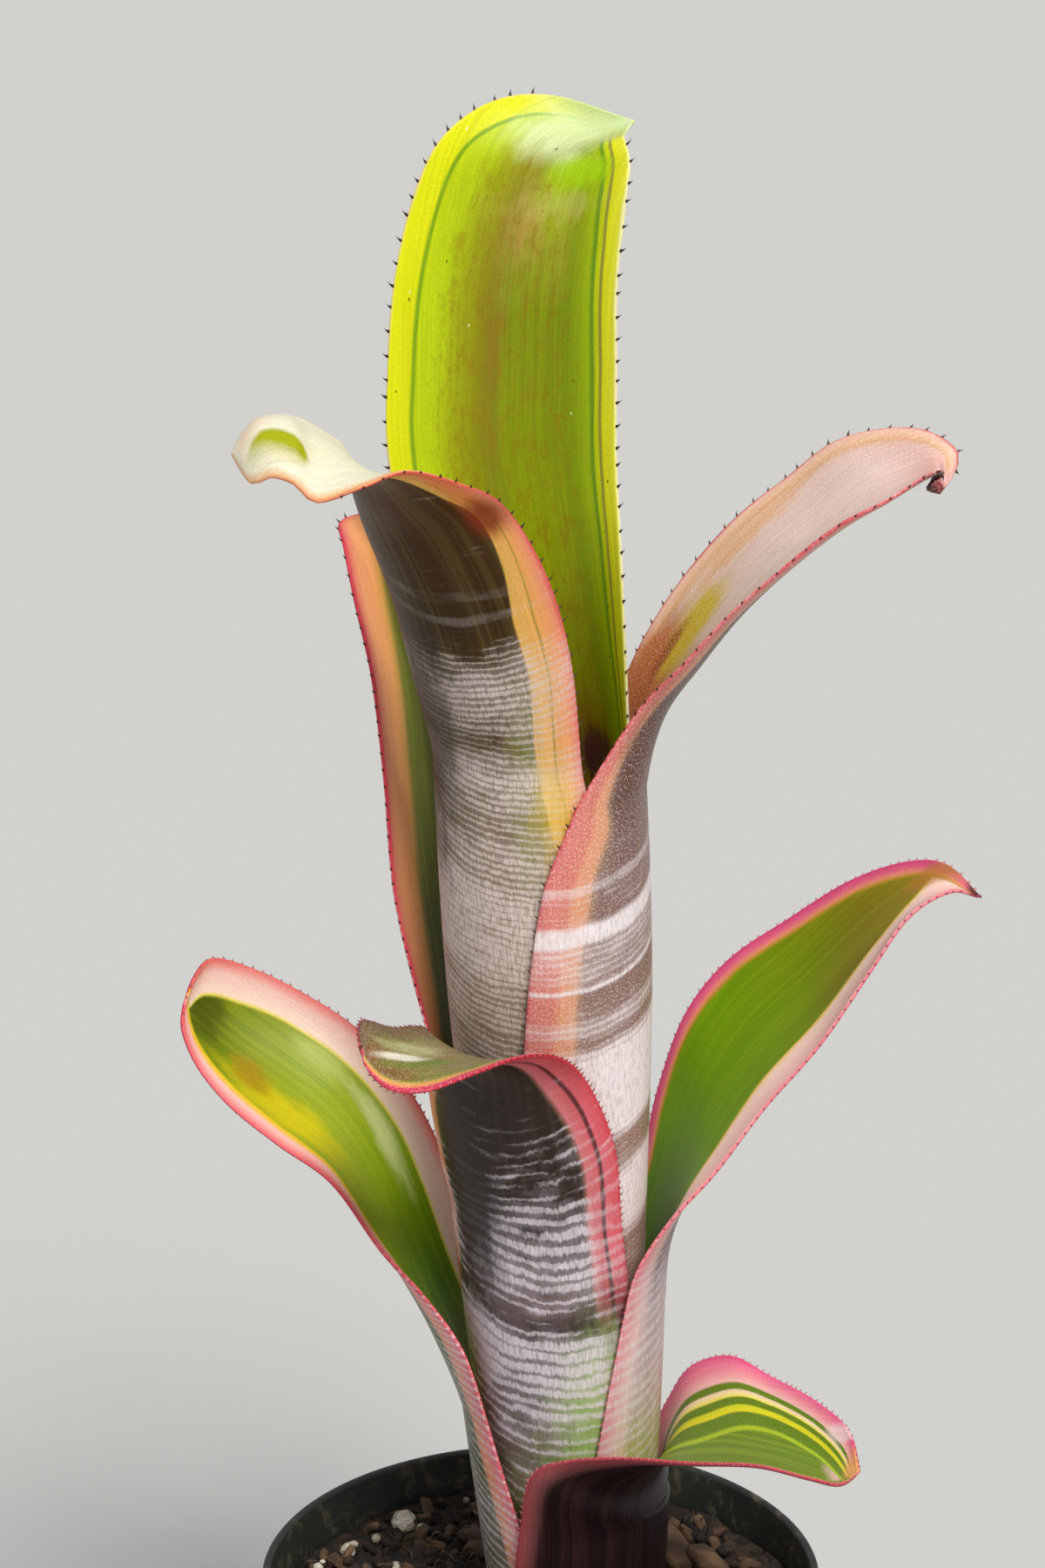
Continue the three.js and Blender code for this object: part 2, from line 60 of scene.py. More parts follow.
# Pot, in millimetres. The step under the rim is given inwards from it and upwards from the neck.
POT_HEIGHT = 90
POT_SIDES = 160
FOOT_RADIUS = 37
NECK_RADIUS = 48.4
NECK_HEIGHT = 77
RIM_RADIUS = 52.5
RIM_STEP = (1.2, 0.8)
WALL = 1.6
FLOOR = 2.4
EDGE_ROUNDING = 0.8
DUSTY_HEIGHTS = (66, 90)
DRAIN_COUNT = 6
DRAIN_SIDES = 40
DRAIN_RADIUS = 3.5
DRAIN_RING_RADIUS = 25

# Body of soil, a little closer to the leaves than the model's
CLEARANCE = 0.3
SOIL_LEVEL = 82
SOIL_LUMP = 1.1
SOIL_SINK = 0.2
SOIL_ROUGHNESS = 0.45
SOIL_SEED = 11
SOIL_SIDES = 220
SOIL_RINGS = 44
HOLE_RADIUS = 17.7
HOLE_CLOSER = 0.6

# Chips and grains that the model has too
SCATTER_SEED = 7
CHIP_COUNT = 18
CHIP_SIZE = (14, 6, 3.2)
CHIP_CLEAR = 0.62
GRAIN_COUNT = 14
GRAIN_RADIUS = 2.2
GRAIN_CLEAR = 1.5
SMALLEST_SCALE = 0.7
SCALE_SPAN = 0.45
PIECE_TILT = 0.5
PIECE_RISE = 0.4
TURN_BETWEEN_PIECES = 0.618
TURN_UNEVEN = 0.1

# Forms of bark, grains and fibres
CHIP_SIDES = 10
CHIP_RINGS = 8
CHIP_TAPER = 0.25
CHIP_SQUARENESS = 0.6
CHIP_ROUGHNESS = 0.06
CHIP_TEAR = 0.035
GRAIN_SIDES = 12
GRAIN_RINGS = 8
GRAIN_ROUGHNESS = 0.07
FIBRE_COUNT = 46
FIBRE_SIDES = 5
FIBRE_STEPS = 12
FIBRE_LENGTH = (6, 13)
FIBRE_RADIUS = (0.12, 0.28)
FIBRE_CURL = 0.18
FIBRE_WAVER = 0.12
FIBRE_RISE = 0.5
FIBRE_WAVE = 0.6
FIBRE_WAVE_TURN = 0.9
FIBRE_FROM_HOLE = 6
FIBRE_FROM_RIM = 14

# Loose crumbs, small chips and small grains: every ninth is a grain, every third a chip
COVER_SEED = 21
LOOSE_COUNT = 520
GRAIN_EVERY = 9
CHIP_EVERY = 3
LOOSE_TILT = 0.8
LOOSE_RISE = 0.3
LOOSE_SPREAD = (0.02, 0.96)
LOOSE_FROM_HOLE = 1
LOOSE_FROM_RIM = 2.5
SMALL_GRAIN = (0.5, 1.3)
SMALL_CHIP = ((3, 7), (1.5, 3), (0.8, 1.6))
CRUMB = ((1.5, 3.6), (1.2, 2.4), (0.9, 1.8))

# Tube of leaf bases, as in the model: outer radius by height, step from layer to layer
TUBE_RADIUS = [(70, 15.4), (100, 18), (130, 20.5), (165, 22.8), (210, 25.4), (260, 25.6)]
LAYER_PITCH = 1.3
TUBE_X_AT_SOIL = 6.4
TUBE_LEAN = -0.045
ROOT_HEIGHT = 70
STEM_RADIUS = 5
STEM_TOP = 98
STEM_SIDES = 48

# Leaf blades
GHOST_STEP = 7.5
ROW_STEP = 1.7
MIDDLE_PLACES = 17
MIDDLE_REACH = 0.93
EDGE_PLACES = [0.955, 0.975, 0.988, 0.996, 1.0]
SMALLEST_ANGLE = 0.001
SHEATH_THICKNESS = 0.7
MIDDLE_EXTRA = 0.4
SWELL_AT_FOOT = 0.15
SWELL_RATE = 1.4
ROUND_EDGE = 0.45
TIP_STEPS = 12

# Spines. The rings give how far out and forward they are, and their share of the root's width.
SPINE_SEED = 300
SPINE_START = 92
SPINE_END_GAP = 0.4
SPINE_AIM_COLUMN = 6
SPINE_SIDES = 6
SPINE_HALF_DEPTH = 0.24
SPINE_TIP_LEAN = 0.55
SPINE_RINGS = [(-0.45, -0.05, 1.0), (0.12, 0.0, 0.72), (0.5, 0.14, 0.34), (0.82, 0.36, 0.12)]
SPINE_SPACINGS = (0.78, 1.22)
SPINE_LENGTHS = (0.7, 1.15)
SPINE_BREADTHS = (0.85, 1.1)

# Leaves from the outermost to the innermost: half the wrap of the sheath by height, and
# the stations of the blade, each the two margins and the channel's depth, in millimetres.
# teeth is the spacing, length and breadth of the marginal spines, and how far up the blade they go.
LEAVES = [
    dict(
        name="leaf_1_lowest_right", slot="leaf_green",
        azimuth=325, teeth=(1.7, 0.6, 0.65, 1.0),
        wrap=[(70, 105), (85, 100), (99, 90), (106, 85)],
        stations=[
            ((-2, -20, 119), (21, 11, 113), 14.5), ((4, -24, 124), (24, 8, 121), 10.5),
            ((14, -31, 128), (28, 5, 129), 8), ((26, -39, 131), (35, -1, 134), 6.5),
            ((37, -46, 134), (42, -10, 134), 5), ((46, -51, 134), (49, -22, 135), 4),
            ((51, -53, 134), (54, -34, 135), 3), ((55, -46, 133), (55, -46, 133), 0),
        ]),
    dict(
        name="leaf_2_lower_left", slot="leaf_green",
        azimuth=165, teeth=(1.9, 0.6, 0.7, 1.0),
        wrap=[(70, 95), (100, 77), (125, 57)],
        stations=[
            ((-11, 17, 146), (-14, -13, 140), 8), ((-18, 20, 165), (-21, -9, 149), 8.5),
            ((-25, 23, 178), (-29, -4, 156), 7.5), ((-34, 26, 188), (-38, -1, 168), 6),
            ((-45, 28, 195), (-48, 3, 174), 5), ((-54, 27, 200), (-57, 7, 180), 4.5),
            ((-61, 24, 203), (-63, 11, 186), 3.5), ((-64, 20, 201), (-66, 14, 192), 2),
            ((-66, 17, 196), (-66, 17, 196), 0),
        ]),
    dict(
        name="leaf_3_lower_right", slot="leaf_green",
        azimuth=8, teeth=(1.9, 0.6, 0.7, 1.0),
        wrap=[(70, 105), (100, 92), (125, 77), (146, 63)],
        stations=[
            ((17, -16, 157), (18, 19, 162), 6.5), ((23, -14, 166), (22, 22, 178), 5.5),
            ((31, -11, 174), (27, 24, 192), 4.5), ((40, -7, 185), (35, 26, 202), 3.8),
            ((50, -4, 196), (46, 26, 210), 3.4), ((59, -1, 209), (57, 24, 218), 3),
            ((66, 3, 218), (67, 20, 223), 2.6), ((74, 8, 221), (74, 15, 224), 1.4),
            ((80, 11, 219), (80, 11, 219), 0),
        ]),
    dict(
        name="leaf_4_lower_front", slot="leaf_banded",
        azimuth=247, teeth=(1.5, 0.8, 0.6, 1.0),
        wrap=[(70, 105), (110, 92), (140, 72), (166, 61)],
        stations=[
            ((-18, -3, 174), (13, -17, 181), 10), ((-20, -7, 189), (9, -20, 193), 9),
            ((-20.5, -13, 201.5), (4, -28, 202), 4.5), ((-22.5, -18, 204.5), (-3, -37, 206), 3),
            ((-26, -25, 206.8), (-11, -45, 206), 2), ((-29, -31, 209.9), (-19, -51, 205), 0.5),
            ((-31, -36, 212), (-25, -51, 205), 0), ((-31, -42, 211), (-29, -48, 207), 0),
            ((-30, -45, 209), (-30, -45, 209), 0),
        ]),
    dict(
        name="leaf_5_back_left", slot="leaf_green",
        azimuth=150, teeth=(3.0, 1.0, 0.75, 0.95),
        wrap=[(70, 105), (120, 92), (155, 72), (178, 63)],
        stations=[
            ((0, 25, 197), (-20, -1, 196), 6.5), ((-4, 27, 220), (-26, 1, 221), 4),
            ((-8, 28, 237), (-28, 3, 244), 2.8), ((-10, 29, 253), (-30, 4, 262), 2.2),
            ((-13, 29, 268), (-33, 7, 275), 1.7), ((-17, 30, 279), (-35, 11, 284), 1.2),
            ((-23, 29.5, 284.5), (-36, 18, 287), 0.6), ((-31, 25.5, 287.5), (-31, 25.5, 287.5), 0),
        ]),
    dict(
        name="leaf_6_upper_right", slot="leaf_banded",
        azimuth=350, teeth=(3.3, 1.0, 0.75, 0.95),
        wrap=[(70, 105), (130, 104), (190, 96), (228, 80), (244, 60)],
        stations=[
            ((16, -14, 260), (15, 15, 259), 6.5), ((24, -15, 269), (21, 16, 271), 6),
            ((32, -15, 278), (28, 16, 281), 5.5), ((41, -15, 286), (35, 15, 289), 5),
            ((50, -14, 293), (43, 13, 296), 5), ((58, -13, 297), (51, 10, 303), 4.5),
            ((65, -11, 301), (60, 7, 306), 4), ((68, -9, 301.5), (67, 4, 306), 2.5),
            ((68.3, -6.5, 300), (71.8, 0.5, 303), 2), ((66, -5, 297.6), (71, -0.5, 299), 0.8),
            ((68.5, -3, 296.3), (68.5, -3, 296.3), 0),
        ]),
    dict(
        name="leaf_7_upper_left", slot="leaf_banded",
        azimuth=235, teeth=(3.2, 1.0, 0.75, 0.62),
        wrap=[(70, 105), (130, 104), (190, 95), (250, 62)],
        stations=[
            ((-22, -2, 263), (5, -20, 270), 9), ((-26, -3, 279), (1, -24, 286), 8.5),
            ((-31, -5, 293), (-6, -28, 299), 7.5), ((-33, -8, 301), (-13, -33, 304), 6),
            ((-34, -10, 306), (-22, -37, 307), 3), ((-37, -13, 309), (-29, -40, 305), 0),
            ((-41, -17, 312), (-36.6, -41, 302.6), -2),
            ((-44, -20, 313), (-40.5, -40, 305.4), -3.5),
            ((-47, -23, 312.5), (-44.3, -38.5, 306.2), -4),
            ((-49.5, -26, 311), (-47.5, -36.5, 304.8), -3),
            ((-51, -31, 308.5), (-51, -31, 308.5), 0),
        ]),
    dict(
        name="leaf_8_centre", slot="leaf_lemon",
        azimuth=75, teeth=(3.7, 1.25, 0.8, 0.88),
        wrap=[(70, 105), (130, 104), (190, 100), (250, 76)],
        stations=[
            ((14, 1, 281), (-23, 10, 277), 9), ((13, 6, 301), (-27, 10, 300), 8),
            ((13, 8, 315), (-27, 12, 315), 7.5), ((13, 10, 330), (-26, 14, 329), 7),
            ((14.3, 12, 343), (-23, 17, 343), 6), ((15.2, 14, 350.5), (-18, 20, 354), 5),
            ((14.6, 16.5, 353.8), (-9, 25.5, 360.3), 4), ((14.4, 19.5, 355.2), (2, 30, 361), 3),
            ((16.2, 24, 357.2), (16.2, 24, 357.2), 0),
        ]),
]


# Screen colours of 0 to 255 that several leaves share
LEMON = (228, 230, 12)
PALE_LEMON = (240, 226, 140)
CREAM = (240, 233, 208)
MINT = (210, 230, 180)
MAGENTA = (206, 60, 116)
ROSE = (206, 62, 80)
PINK = (230, 126, 140)
PALE_PINK = (242, 196, 190)
SALMON = (232, 146, 104)
AMBER = (222, 170, 64)
RUST = (196, 118, 54)
GREEN = (104, 136, 2)
DEEP_GREEN = (56, 84, 8)
OLIVE = (104, 96, 50)
MAUVE = (136, 106, 102)
PLUM = (34, 18, 20)
SILVER = (240, 230, 232)
LAVENDER = (226, 216, 224)


def linear(tint):
    """A screen colour of 0 to 255 as the renderer's linear colour."""
    parts = []
    for part in tint:
        part /= 255
        parts.append(part / 12.92 if part <= 0.04045 else ((part + 0.055) / 1.055) ** 2.4)
    return (*parts, 1.0)


class Shader:
    """A material's nodes, made and linked by short calls that take screen colours."""

    def __init__(self, name):
        self.material = bpy.data.materials.new(name)
        self.material.use_nodes = True
        self.tree = self.material.node_tree
        self.tree.nodes.clear()

    def node(self, kind, **settings):
        node = self.tree.nodes.new("ShaderNode" + kind)
        for name, value in settings.items():
            setattr(node, name, value)
        return node

    def put(self, socket, value):
        if isinstance(value, bpy.types.NodeSocket):
            self.tree.links.new(value, socket)
        elif value is not None:
            socket.default_value = linear(value) if isinstance(value, tuple) else value

    def math(self, operation, *values, clamp=False):
        node = self.node("Math", operation=operation, use_clamp=clamp)
        for socket, value in zip(node.inputs, values):
            self.put(socket, value)
        return node.outputs[0]

    def times(self, value, factor):
        return self.math("MULTIPLY", value, factor)

    def line(self, value, slope, start):
        return self.math("MULTIPLY_ADD", value, slope, start)

    def inverse(self, value):
        return self.math("SUBTRACT", 1.0, value)

    def centred(self, value):
        return self.math("SUBTRACT", value, 0.5)

    def wave(self, value, spacing):
        """0 to 1 and back over each spacing."""
        return self.line(self.math("SINE", self.times(value, 2 * math.pi / spacing)), 0.5, 0.5)

    def mix(self, share, first, second, blend="MIX"):
        node = self.node("Mix", data_type="RGBA", blend_type=blend)
        self.put(node.inputs[0], share)
        self.put(node.inputs[6], first)
        self.put(node.inputs[7], second)
        return node.outputs[2]

    def ramp(self, value, stops):
        """stops are (place, colour) or (place, colour, cover). Returns colour and cover."""
        return self.linear_ramp(value, [
            (place, (*linear(tint)[:3], *(cover or [1.0]))) for place, tint, *cover in stops])

    def linear_ramp(self, value, stops):
        """stops are (place, (red, green, blue, cover)), from 0 to 1."""
        node = self.node("ValToRGB")
        elements = node.color_ramp.elements
        while len(elements) < len(stops):
            elements.new(0.5)
        for element, (place, _) in zip(elements, stops):
            element.position = place
        for element, (_, parts) in zip(elements, stops):
            element.color = parts
        self.put(node.inputs[0], value)
        return node.outputs[0], node.outputs[1]

    def step(self, value, low, high):
        """0 below low, 1 above high, smooth between."""
        node = self.node("MapRange", interpolation_type="SMOOTHSTEP")
        self.put(node.inputs["Value"], value)
        node.inputs["From Min"].default_value = low
        node.inputs["From Max"].default_value = high
        return node.outputs[0]

    def vector(self, x, y, z=0.0):
        node = self.node("CombineXYZ")
        for socket, value in zip(node.inputs, (x, y, z)):
            self.put(socket, value)
        return node.outputs[0]

    def parts(self, vector):
        node = self.node("SeparateXYZ")
        self.put(node.inputs[0], vector)
        return node.outputs

    def stretched(self, vector, factors):
        """The vector with each part times its own factor."""
        return self.vector(*[self.times(part, factor)
                             for part, factor in zip(self.parts(vector), factors)])

    def attribute(self, name):
        return self.node("Attribute", attribute_name=name).outputs["Vector"]

    def place(self):
        return self.node("TexCoord").outputs["Object"]

    def noise(self, vector, scale=1.0, detail=2.0, roughness=0.5):
        node = self.node("TexNoise")
        self.put(node.inputs["Vector"], vector)
        node.inputs["Scale"].default_value = scale
        node.inputs["Detail"].default_value = detail
        node.inputs["Roughness"].default_value = roughness
        return node.outputs[0]

    def voronoi(self, vector, scale, output="Distance"):
        node = self.node("TexVoronoi")
        self.put(node.inputs["Vector"], vector)
        node.inputs["Scale"].default_value = scale
        return node.outputs[output]

    def bump(self, height, strength, distance_mm):
        node = self.node("Bump")
        self.put(node.inputs["Height"], height)
        node.inputs["Strength"].default_value = strength
        node.inputs["Distance"].default_value = distance_mm * MM
        return node.outputs[0]

    def finish(self, base, roughness, normal=None, gloss=None):
        shader = self.node("BsdfPrincipled")
        for name, value in (("Base Color", base), ("Roughness", roughness), ("Normal", normal),
                            ("Specular IOR Level", gloss)):
            self.put(shader.inputs[name], value)
        output = self.node("OutputMaterial")
        self.tree.links.new(shader.outputs[0], output.inputs[0])
        return self.material


def mesh_object(name, points, faces, materials, face_materials=None):
    """A mesh piece at the origin, from points in millimetres, shaded smooth."""
    mesh = bpy.data.meshes.new(name)
    mesh.from_pydata((np.asarray(points) * MM).tolist(), [], faces)
    for material in materials:
        mesh.materials.append(material)
    mesh.polygons.foreach_set("use_smooth", [True] * len(mesh.polygons))
    if face_materials is not None:
        mesh.polygons.foreach_set("material_index", face_materials)
    mesh.update()
    piece = bpy.data.objects.new(name, mesh)
    bpy.context.scene.collection.objects.link(piece)
    return piece


def circle(sides):
    """Cosine and sine of each corner of a regular polygon."""
    angles = [2 * math.pi * k / sides for k in range(sides)]
    return [(math.cos(angle), math.sin(angle)) for angle in angles]


def ring_faces(rings, flip=False):
    """Faces between rings of point numbers. A ring may be one number repeated, for a point."""
    faces = []
    for low, high in zip(rings, rings[1:]):
        for k in range(len(low)):
            following = (k + 1) % len(low)
            corners = list(dict.fromkeys([low[k], low[following], high[following], high[k]]))
            faces.append(corners[::-1] if flip else corners)
    return faces


def bar_faces(count, sides, flip=False):
    """Faces of a closed bar whose points come ring by ring."""
    rings = [list(range(i * sides, (i + 1) * sides)) for i in range(count)]
    ends = [rings[0][::-1], rings[-1]]
    return ring_faces(rings, flip) + [end[::-1] if flip else end for end in ends]


def smooth_at(points, x):
    """Smooth curve through a short list of (x, y) points, as the model uses."""
    last = len(points) - 1
    i = 0
    while i < last - 1 and x > points[i + 1][0]:
        i += 1

    def slope(j):
        a = points[max(j - 1, 0)]
        b = points[min(j + 1, last)]
        return (b[1] - a[1]) / (b[0] - a[0])

    h = points[i + 1][0] - points[i][0]
    t = (x - points[i][0]) / h
    return ((2 * t ** 3 - 3 * t ** 2 + 1) * points[i][1] + (t ** 3 - 2 * t ** 2 + t) * h * slope(i)
            + (3 * t ** 2 - 2 * t ** 3) * points[i + 1][1] + (t ** 3 - t ** 2) * h * slope(i + 1))


def tube_x(z):
    return TUBE_X_AT_SOIL + TUBE_LEAN * (z - SOIL_LEVEL)


def sheath_row(leaf, layer, z):
    """The two margins and the middle of a row of the sheath."""
    radius = smooth_at(TUBE_RADIUS, z) - layer * LAYER_PITCH
    half = smooth_at(leaf["wrap"], z)
    row = []
    for degrees in (leaf["azimuth"] - half, leaf["azimuth"] + half, leaf["azimuth"]):
        angle = math.radians(degrees)
        row.append([tube_x(z) + radius * math.cos(angle), radius * math.sin(angle), z])
    return np.array(row)


def blade_rows(leaf, below):
    """The margins and pushed out middle of each station of the blade."""
    margins = [(np.array(a, float), np.array(b, float)) for a, b, _ in leaf["stations"]]
    middles = [(below[0] + below[1]) / 2] + [(a + b) / 2 for a, b in margins]
    rows = []
    for i, (a, b) in enumerate(margins):
        along = middles[min(i + 2, len(margins))] - middles[i]
        outward = np.cross(b - a, along)
        size = np.linalg.norm(outward)
        outward = outward / size if size > 0 else outward
        rows.append(np.array([a, b, middles[i + 1] + outward * leaf["stations"][i][2]]))
    return rows


def spline_at(rows, position):
    """Catmull-Rom spline through rows, at a position counted in rows."""
    last = len(rows) - 1
    i = min(int(position), last - 1)
    t = position - i
    p1, p2 = rows[i], rows[i + 1]
    p0 = rows[i - 1] if i > 0 else 2 * p1 - p2
    p3 = rows[i + 2] if i < last - 1 else 2 * p2 - p1
    return 0.5 * (2 * p1 + (p2 - p0) * t + (2 * p0 - 5 * p1 + 4 * p2 - p3) * t ** 2
                  + (3 * p1 - p0 - 3 * p2 + p3) * t ** 3)


def leaf_rows(leaf, layer):
    """Margin, margin and middle of every fine row, and how far up the blade it is."""
    sheath_top = leaf["wrap"][-1][0]
    rows = []
    blade = []
    for z in np.linspace(ROOT_HEIGHT, sheath_top, int((sheath_top - ROOT_HEIGHT) / ROW_STEP) + 1):
        rows.append(sheath_row(leaf, layer, z))
        blade.append(0.0)
    top = sheath_row(leaf, layer, sheath_top)
    stations = [sheath_row(leaf, layer, sheath_top - GHOST_STEP), top] + blade_rows(leaf, top)
    for i in range(1, len(stations) - 1):
        reach = np.linalg.norm(stations[i + 1][:2] - stations[i][:2], axis=1).max()
        steps = max(2, round(reach / ROW_STEP))
        shares = np.arange(1, steps + 1) / steps
        if i == len(stations) - 2:
            shares = 1 - (1 - np.arange(1, TIP_STEPS) / TIP_STEPS) ** 2
        for share in shares:
            rows.append(spline_at(stations, i + share))
            blade.append((i + share - 1) / (len(stations) - 2))
    return np.array(rows), np.array(blade)


def across_places():
    """Places across a leaf from -1 to 1, closer together at the rounded margins."""
    side = np.concatenate([np.linspace(0, MIDDLE_REACH, MIDDLE_PLACES), EDGE_PLACES])
    return np.concatenate([-side[:0:-1], side])


def arc_grid(rows, places):
    """Points on the arc of every row, and the arc's width."""
    a, b, m = rows[:, 0], rows[:, 1], rows[:, 2]
    centre = (a + b) / 2
    half = (b - a) / 2
    bulge = m - centre
    half_size = np.linalg.norm(half, axis=1)
    angle = np.maximum(2 * np.arctan2(np.linalg.norm(bulge, axis=1), half_size), SMALLEST_ANGLE)
    turn = places[None, :] * angle[:, None]
    sideways = np.sin(turn) / np.sin(angle)[:, None]
    rise = (np.cos(turn) - np.cos(angle)[:, None]) / (1 - np.cos(angle)[:, None])
    grid = centre[:, None] + sideways[..., None] * half[:, None] + rise[..., None] * bulge[:, None]
    return grid, 2 * half_size * angle / np.sin(angle)


def grid_normals(grid):
    normals = np.cross(np.gradient(grid, axis=1), np.gradient(grid, axis=0))
    return normals / np.maximum(np.linalg.norm(normals, axis=2, keepdims=True), 1e-9)


# Materials of a leaf, by their number on its mesh
UPPER, UNDER, SPINE = 0, 1, 2


class LeafMesh:
    """Points, faces and surface measures of one leaf with its spines."""

    def __init__(self):
        self.points = []
        self.faces = []
        self.slots = []
        self.place = []
        self.margin = []

    def add(self, point, place, margin):
        self.points.append(point)
        self.place.append(place)
        self.margin.append(margin)
        return len(self.points) - 1

    def face(self, corners, slot):
        if len(set(corners)) == len(corners):
            self.faces.append(corners)
            self.slots.append(slot)


def leaf_surface(leaf, layer):
    """The leaf's fine middle surface with all that its faces and material need."""
    rows, blade = leaf_rows(leaf, layer)
    places = across_places()
    grid, width = arc_grid(rows, places)
    steps = np.linalg.norm(np.diff(grid[:, len(places) // 2], axis=0), axis=1)
    along = np.concatenate([[0], np.cumsum(steps)])
    swell = np.sin(np.pi * np.minimum(1, blade * SWELL_RATE + SWELL_AT_FOOT * (blade > 0)))
    return dict(grid=grid, normals=grid_normals(grid), width=width, along=along, blade=blade,
                swell=np.maximum(0, swell), places=places, length=along[-1])


def thickness_at(surface, i, across):
    """Thickness at a place across row i, rounded off at the margins."""
    edge = (1 - abs(across)) * surface["width"][i] / 2
    thick = SHEATH_THICKNESS + MIDDLE_EXTRA * surface["swell"][i] * (1 - across ** 2)
    inside = max(0.0, 1 - edge / ROUND_EDGE)
    return thick * math.sqrt(max(0.0, 1 - inside ** 2))


def add_row(mesh, surface, i):
    """Point numbers of row i on the outer and the inner skin, which share the margins."""
    half = surface["width"][i] / 2
    along = surface["along"][i]
    outer, inner = [], []
    for j, across in enumerate(surface["places"]):
        place = (across * half, along, surface["blade"][i])
        margin = ((1 + across) * half, (1 - across) * half, surface["length"] - along)
        shift = surface["normals"][i, j] * thickness_at(surface, i, across) / 2
        outer.append(mesh.add(surface["grid"][i, j] + shift, place, margin))
        at_margin = j in (0, len(surface["places"]) - 1)
        inner.append(outer[j] if at_margin
                     else mesh.add(surface["grid"][i, j] - shift, place, margin))
    return outer, inner


def build_leaf_mesh(leaf, layer, surface):
    """The leaf as one closed body: two skins, closed at foot and tip, with spines."""
    mesh = LeafMesh()
    rows = [add_row(mesh, surface, i) for i in range(len(surface["grid"]))]
    gaps = range(len(surface["places"]) - 1)
    for low, high in zip(rows, rows[1:]):
        for j in gaps:
            for side, slot, flip in ((0, UNDER, False), (1, UPPER, True)):
                corners = [low[side][j], low[side][j + 1], high[side][j + 1], high[side][j]]
                mesh.face(corners[::-1] if flip else corners, slot)
    for (outer, inner), flip in ((rows[0], True), (rows[-1], False)):
        for j in gaps:
            corners = list(dict.fromkeys([outer[j], outer[j + 1], inner[j + 1], inner[j]]))
            mesh.face(corners[::-1] if flip else corners, UNDER)
    add_spines(mesh, leaf, layer, surface)
    return mesh


def add_spines(mesh, leaf, layer, surface):
    """Small curved spines on both margins, leaning to the leaf's tip."""
    draw = random.Random(SPINE_SEED + layer)
    spacing, length, breadth, last = leaf["teeth"]
    grid = surface["grid"]
    top = np.searchsorted(surface["blade"], last) - 1
    for column, beside in ((0, SPINE_AIM_COLUMN), (-1, -1 - SPINE_AIM_COLUMN)):
        edge = grid[:, column]
        steps = np.linalg.norm(np.diff(edge, axis=0), axis=1)
        run = np.concatenate([[0], np.cumsum(steps)])
        place = run[np.argmax(edge[:, 2] > SPINE_START)] + spacing
        while place < run[top] - SPINE_END_GAP:
            i = int(np.searchsorted(run, place)) - 1
            share = (place - run[i]) / steps[i]
            root = edge[i] + (edge[i + 1] - edge[i]) * share
            up = (edge[i + 1] - edge[i]) / steps[i]
            out = root - (grid[i, beside] * (1 - share) + grid[i + 1, beside] * share)
            out -= up * np.dot(out, up)
            out /= np.linalg.norm(out)
            add_spine(mesh, root, (out, up, surface["normals"][i, column]),
                      length * draw.uniform(*SPINE_LENGTHS),
                      breadth * draw.uniform(*SPINE_BREADTHS))
            place += spacing * draw.uniform(*SPINE_SPACINGS)


def add_spine(mesh, root, directions, size, breadth):
    """One spine: an oval root sunk in the margin, drawn out to a forward bent point."""
    out, up, flat = directions
    nowhere = (0.0, 0.0, 0.0)
    loops = []
    for reach, lean, share in SPINE_RINGS:
        centre = root + out * size * reach + up * size * lean
        loop = []
        for cosine, sine in circle(SPINE_SIDES):
            offset = up * cosine * breadth / 2 + flat * sine * SPINE_HALF_DEPTH
            loop.append(mesh.add(centre + offset * share, (reach, lean, 0.0), nowhere))
        loops.append(loop)
    point = root + out * size + up * size * SPINE_TIP_LEAN
    loops.append([mesh.add(point, (1.0, SPINE_TIP_LEAN, 0.0), nowhere)] * SPINE_SIDES)
    flip = np.dot(np.cross(up, flat), out) <= 0
    for corners in ring_faces(loops, flip):
        mesh.face(corners, SPINE)
    mesh.face(loops[0] if flip else loops[0][::-1], SPINE)


def leaf_piece(leaf, layer):
    """One leaf with its materials, and the measures that these read."""
    mesh = build_leaf_mesh(leaf, layer, leaf_surface(leaf, layer))
    looks = LOOKS[leaf["name"]]
    materials = [
        face_material(leaf["name"] + "_upper", looks["upper"], layer),
        face_material(leaf["name"] + "_under", looks["under"], layer + UNDER_SEED),
        spine_material(leaf["name"] + "_spine", looks["spine"]),
    ]
    piece = mesh_object(leaf["name"] + "_fine", mesh.points, mesh.faces, materials, mesh.slots)
    for name, values in (("leaf_place", mesh.place), ("leaf_margin", mesh.margin)):
        measure = piece.data.attributes.new(name, "FLOAT_VECTOR", "POINT")
        measure.data.foreach_set("vector", np.asarray(values, float).ravel())
    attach(piece, "root")
    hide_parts(leaf["name"])
    return piece


# Noises on the faces of leaves: how quickly each changes across and along the leaf, per mm
CLOUD = (0.11, 0.05)
STREAKS = (0.75, 0.01)
BLOTS = (0.55, 0.2)
VEINS = (2.2, 0.03)
BLUSH_CLOUD = (0.3, 0.1)
BAND_WAVER = (0.1, 0.08)
BAND_PATCHES = (0.13, 0.3)
BAND_STAGGER = (1.3, 0.15)
BAND_THREADS = (2.4, 0.45)

UNDER_SEED = 20
MARGIN_REACH = 24.0
BLUSH_END = 1.1
BLOTS_FROM_MARGIN = (5.0, 13.0)
BASE_DRIFT = 0.08
STREAK_EDGE = (0.45, 0.62)
BLOT_EDGE = (0.46, 0.62)
DUST_EDGE = (0.5, 0.68)
GRAIN_SCALE = 2.6
GRAIN_LIGHT = (0.3, 0.85)
SPECK_SCALE = 0.22
SPECK_SQUASH = 0.6
SPECK_COVER = 0.8

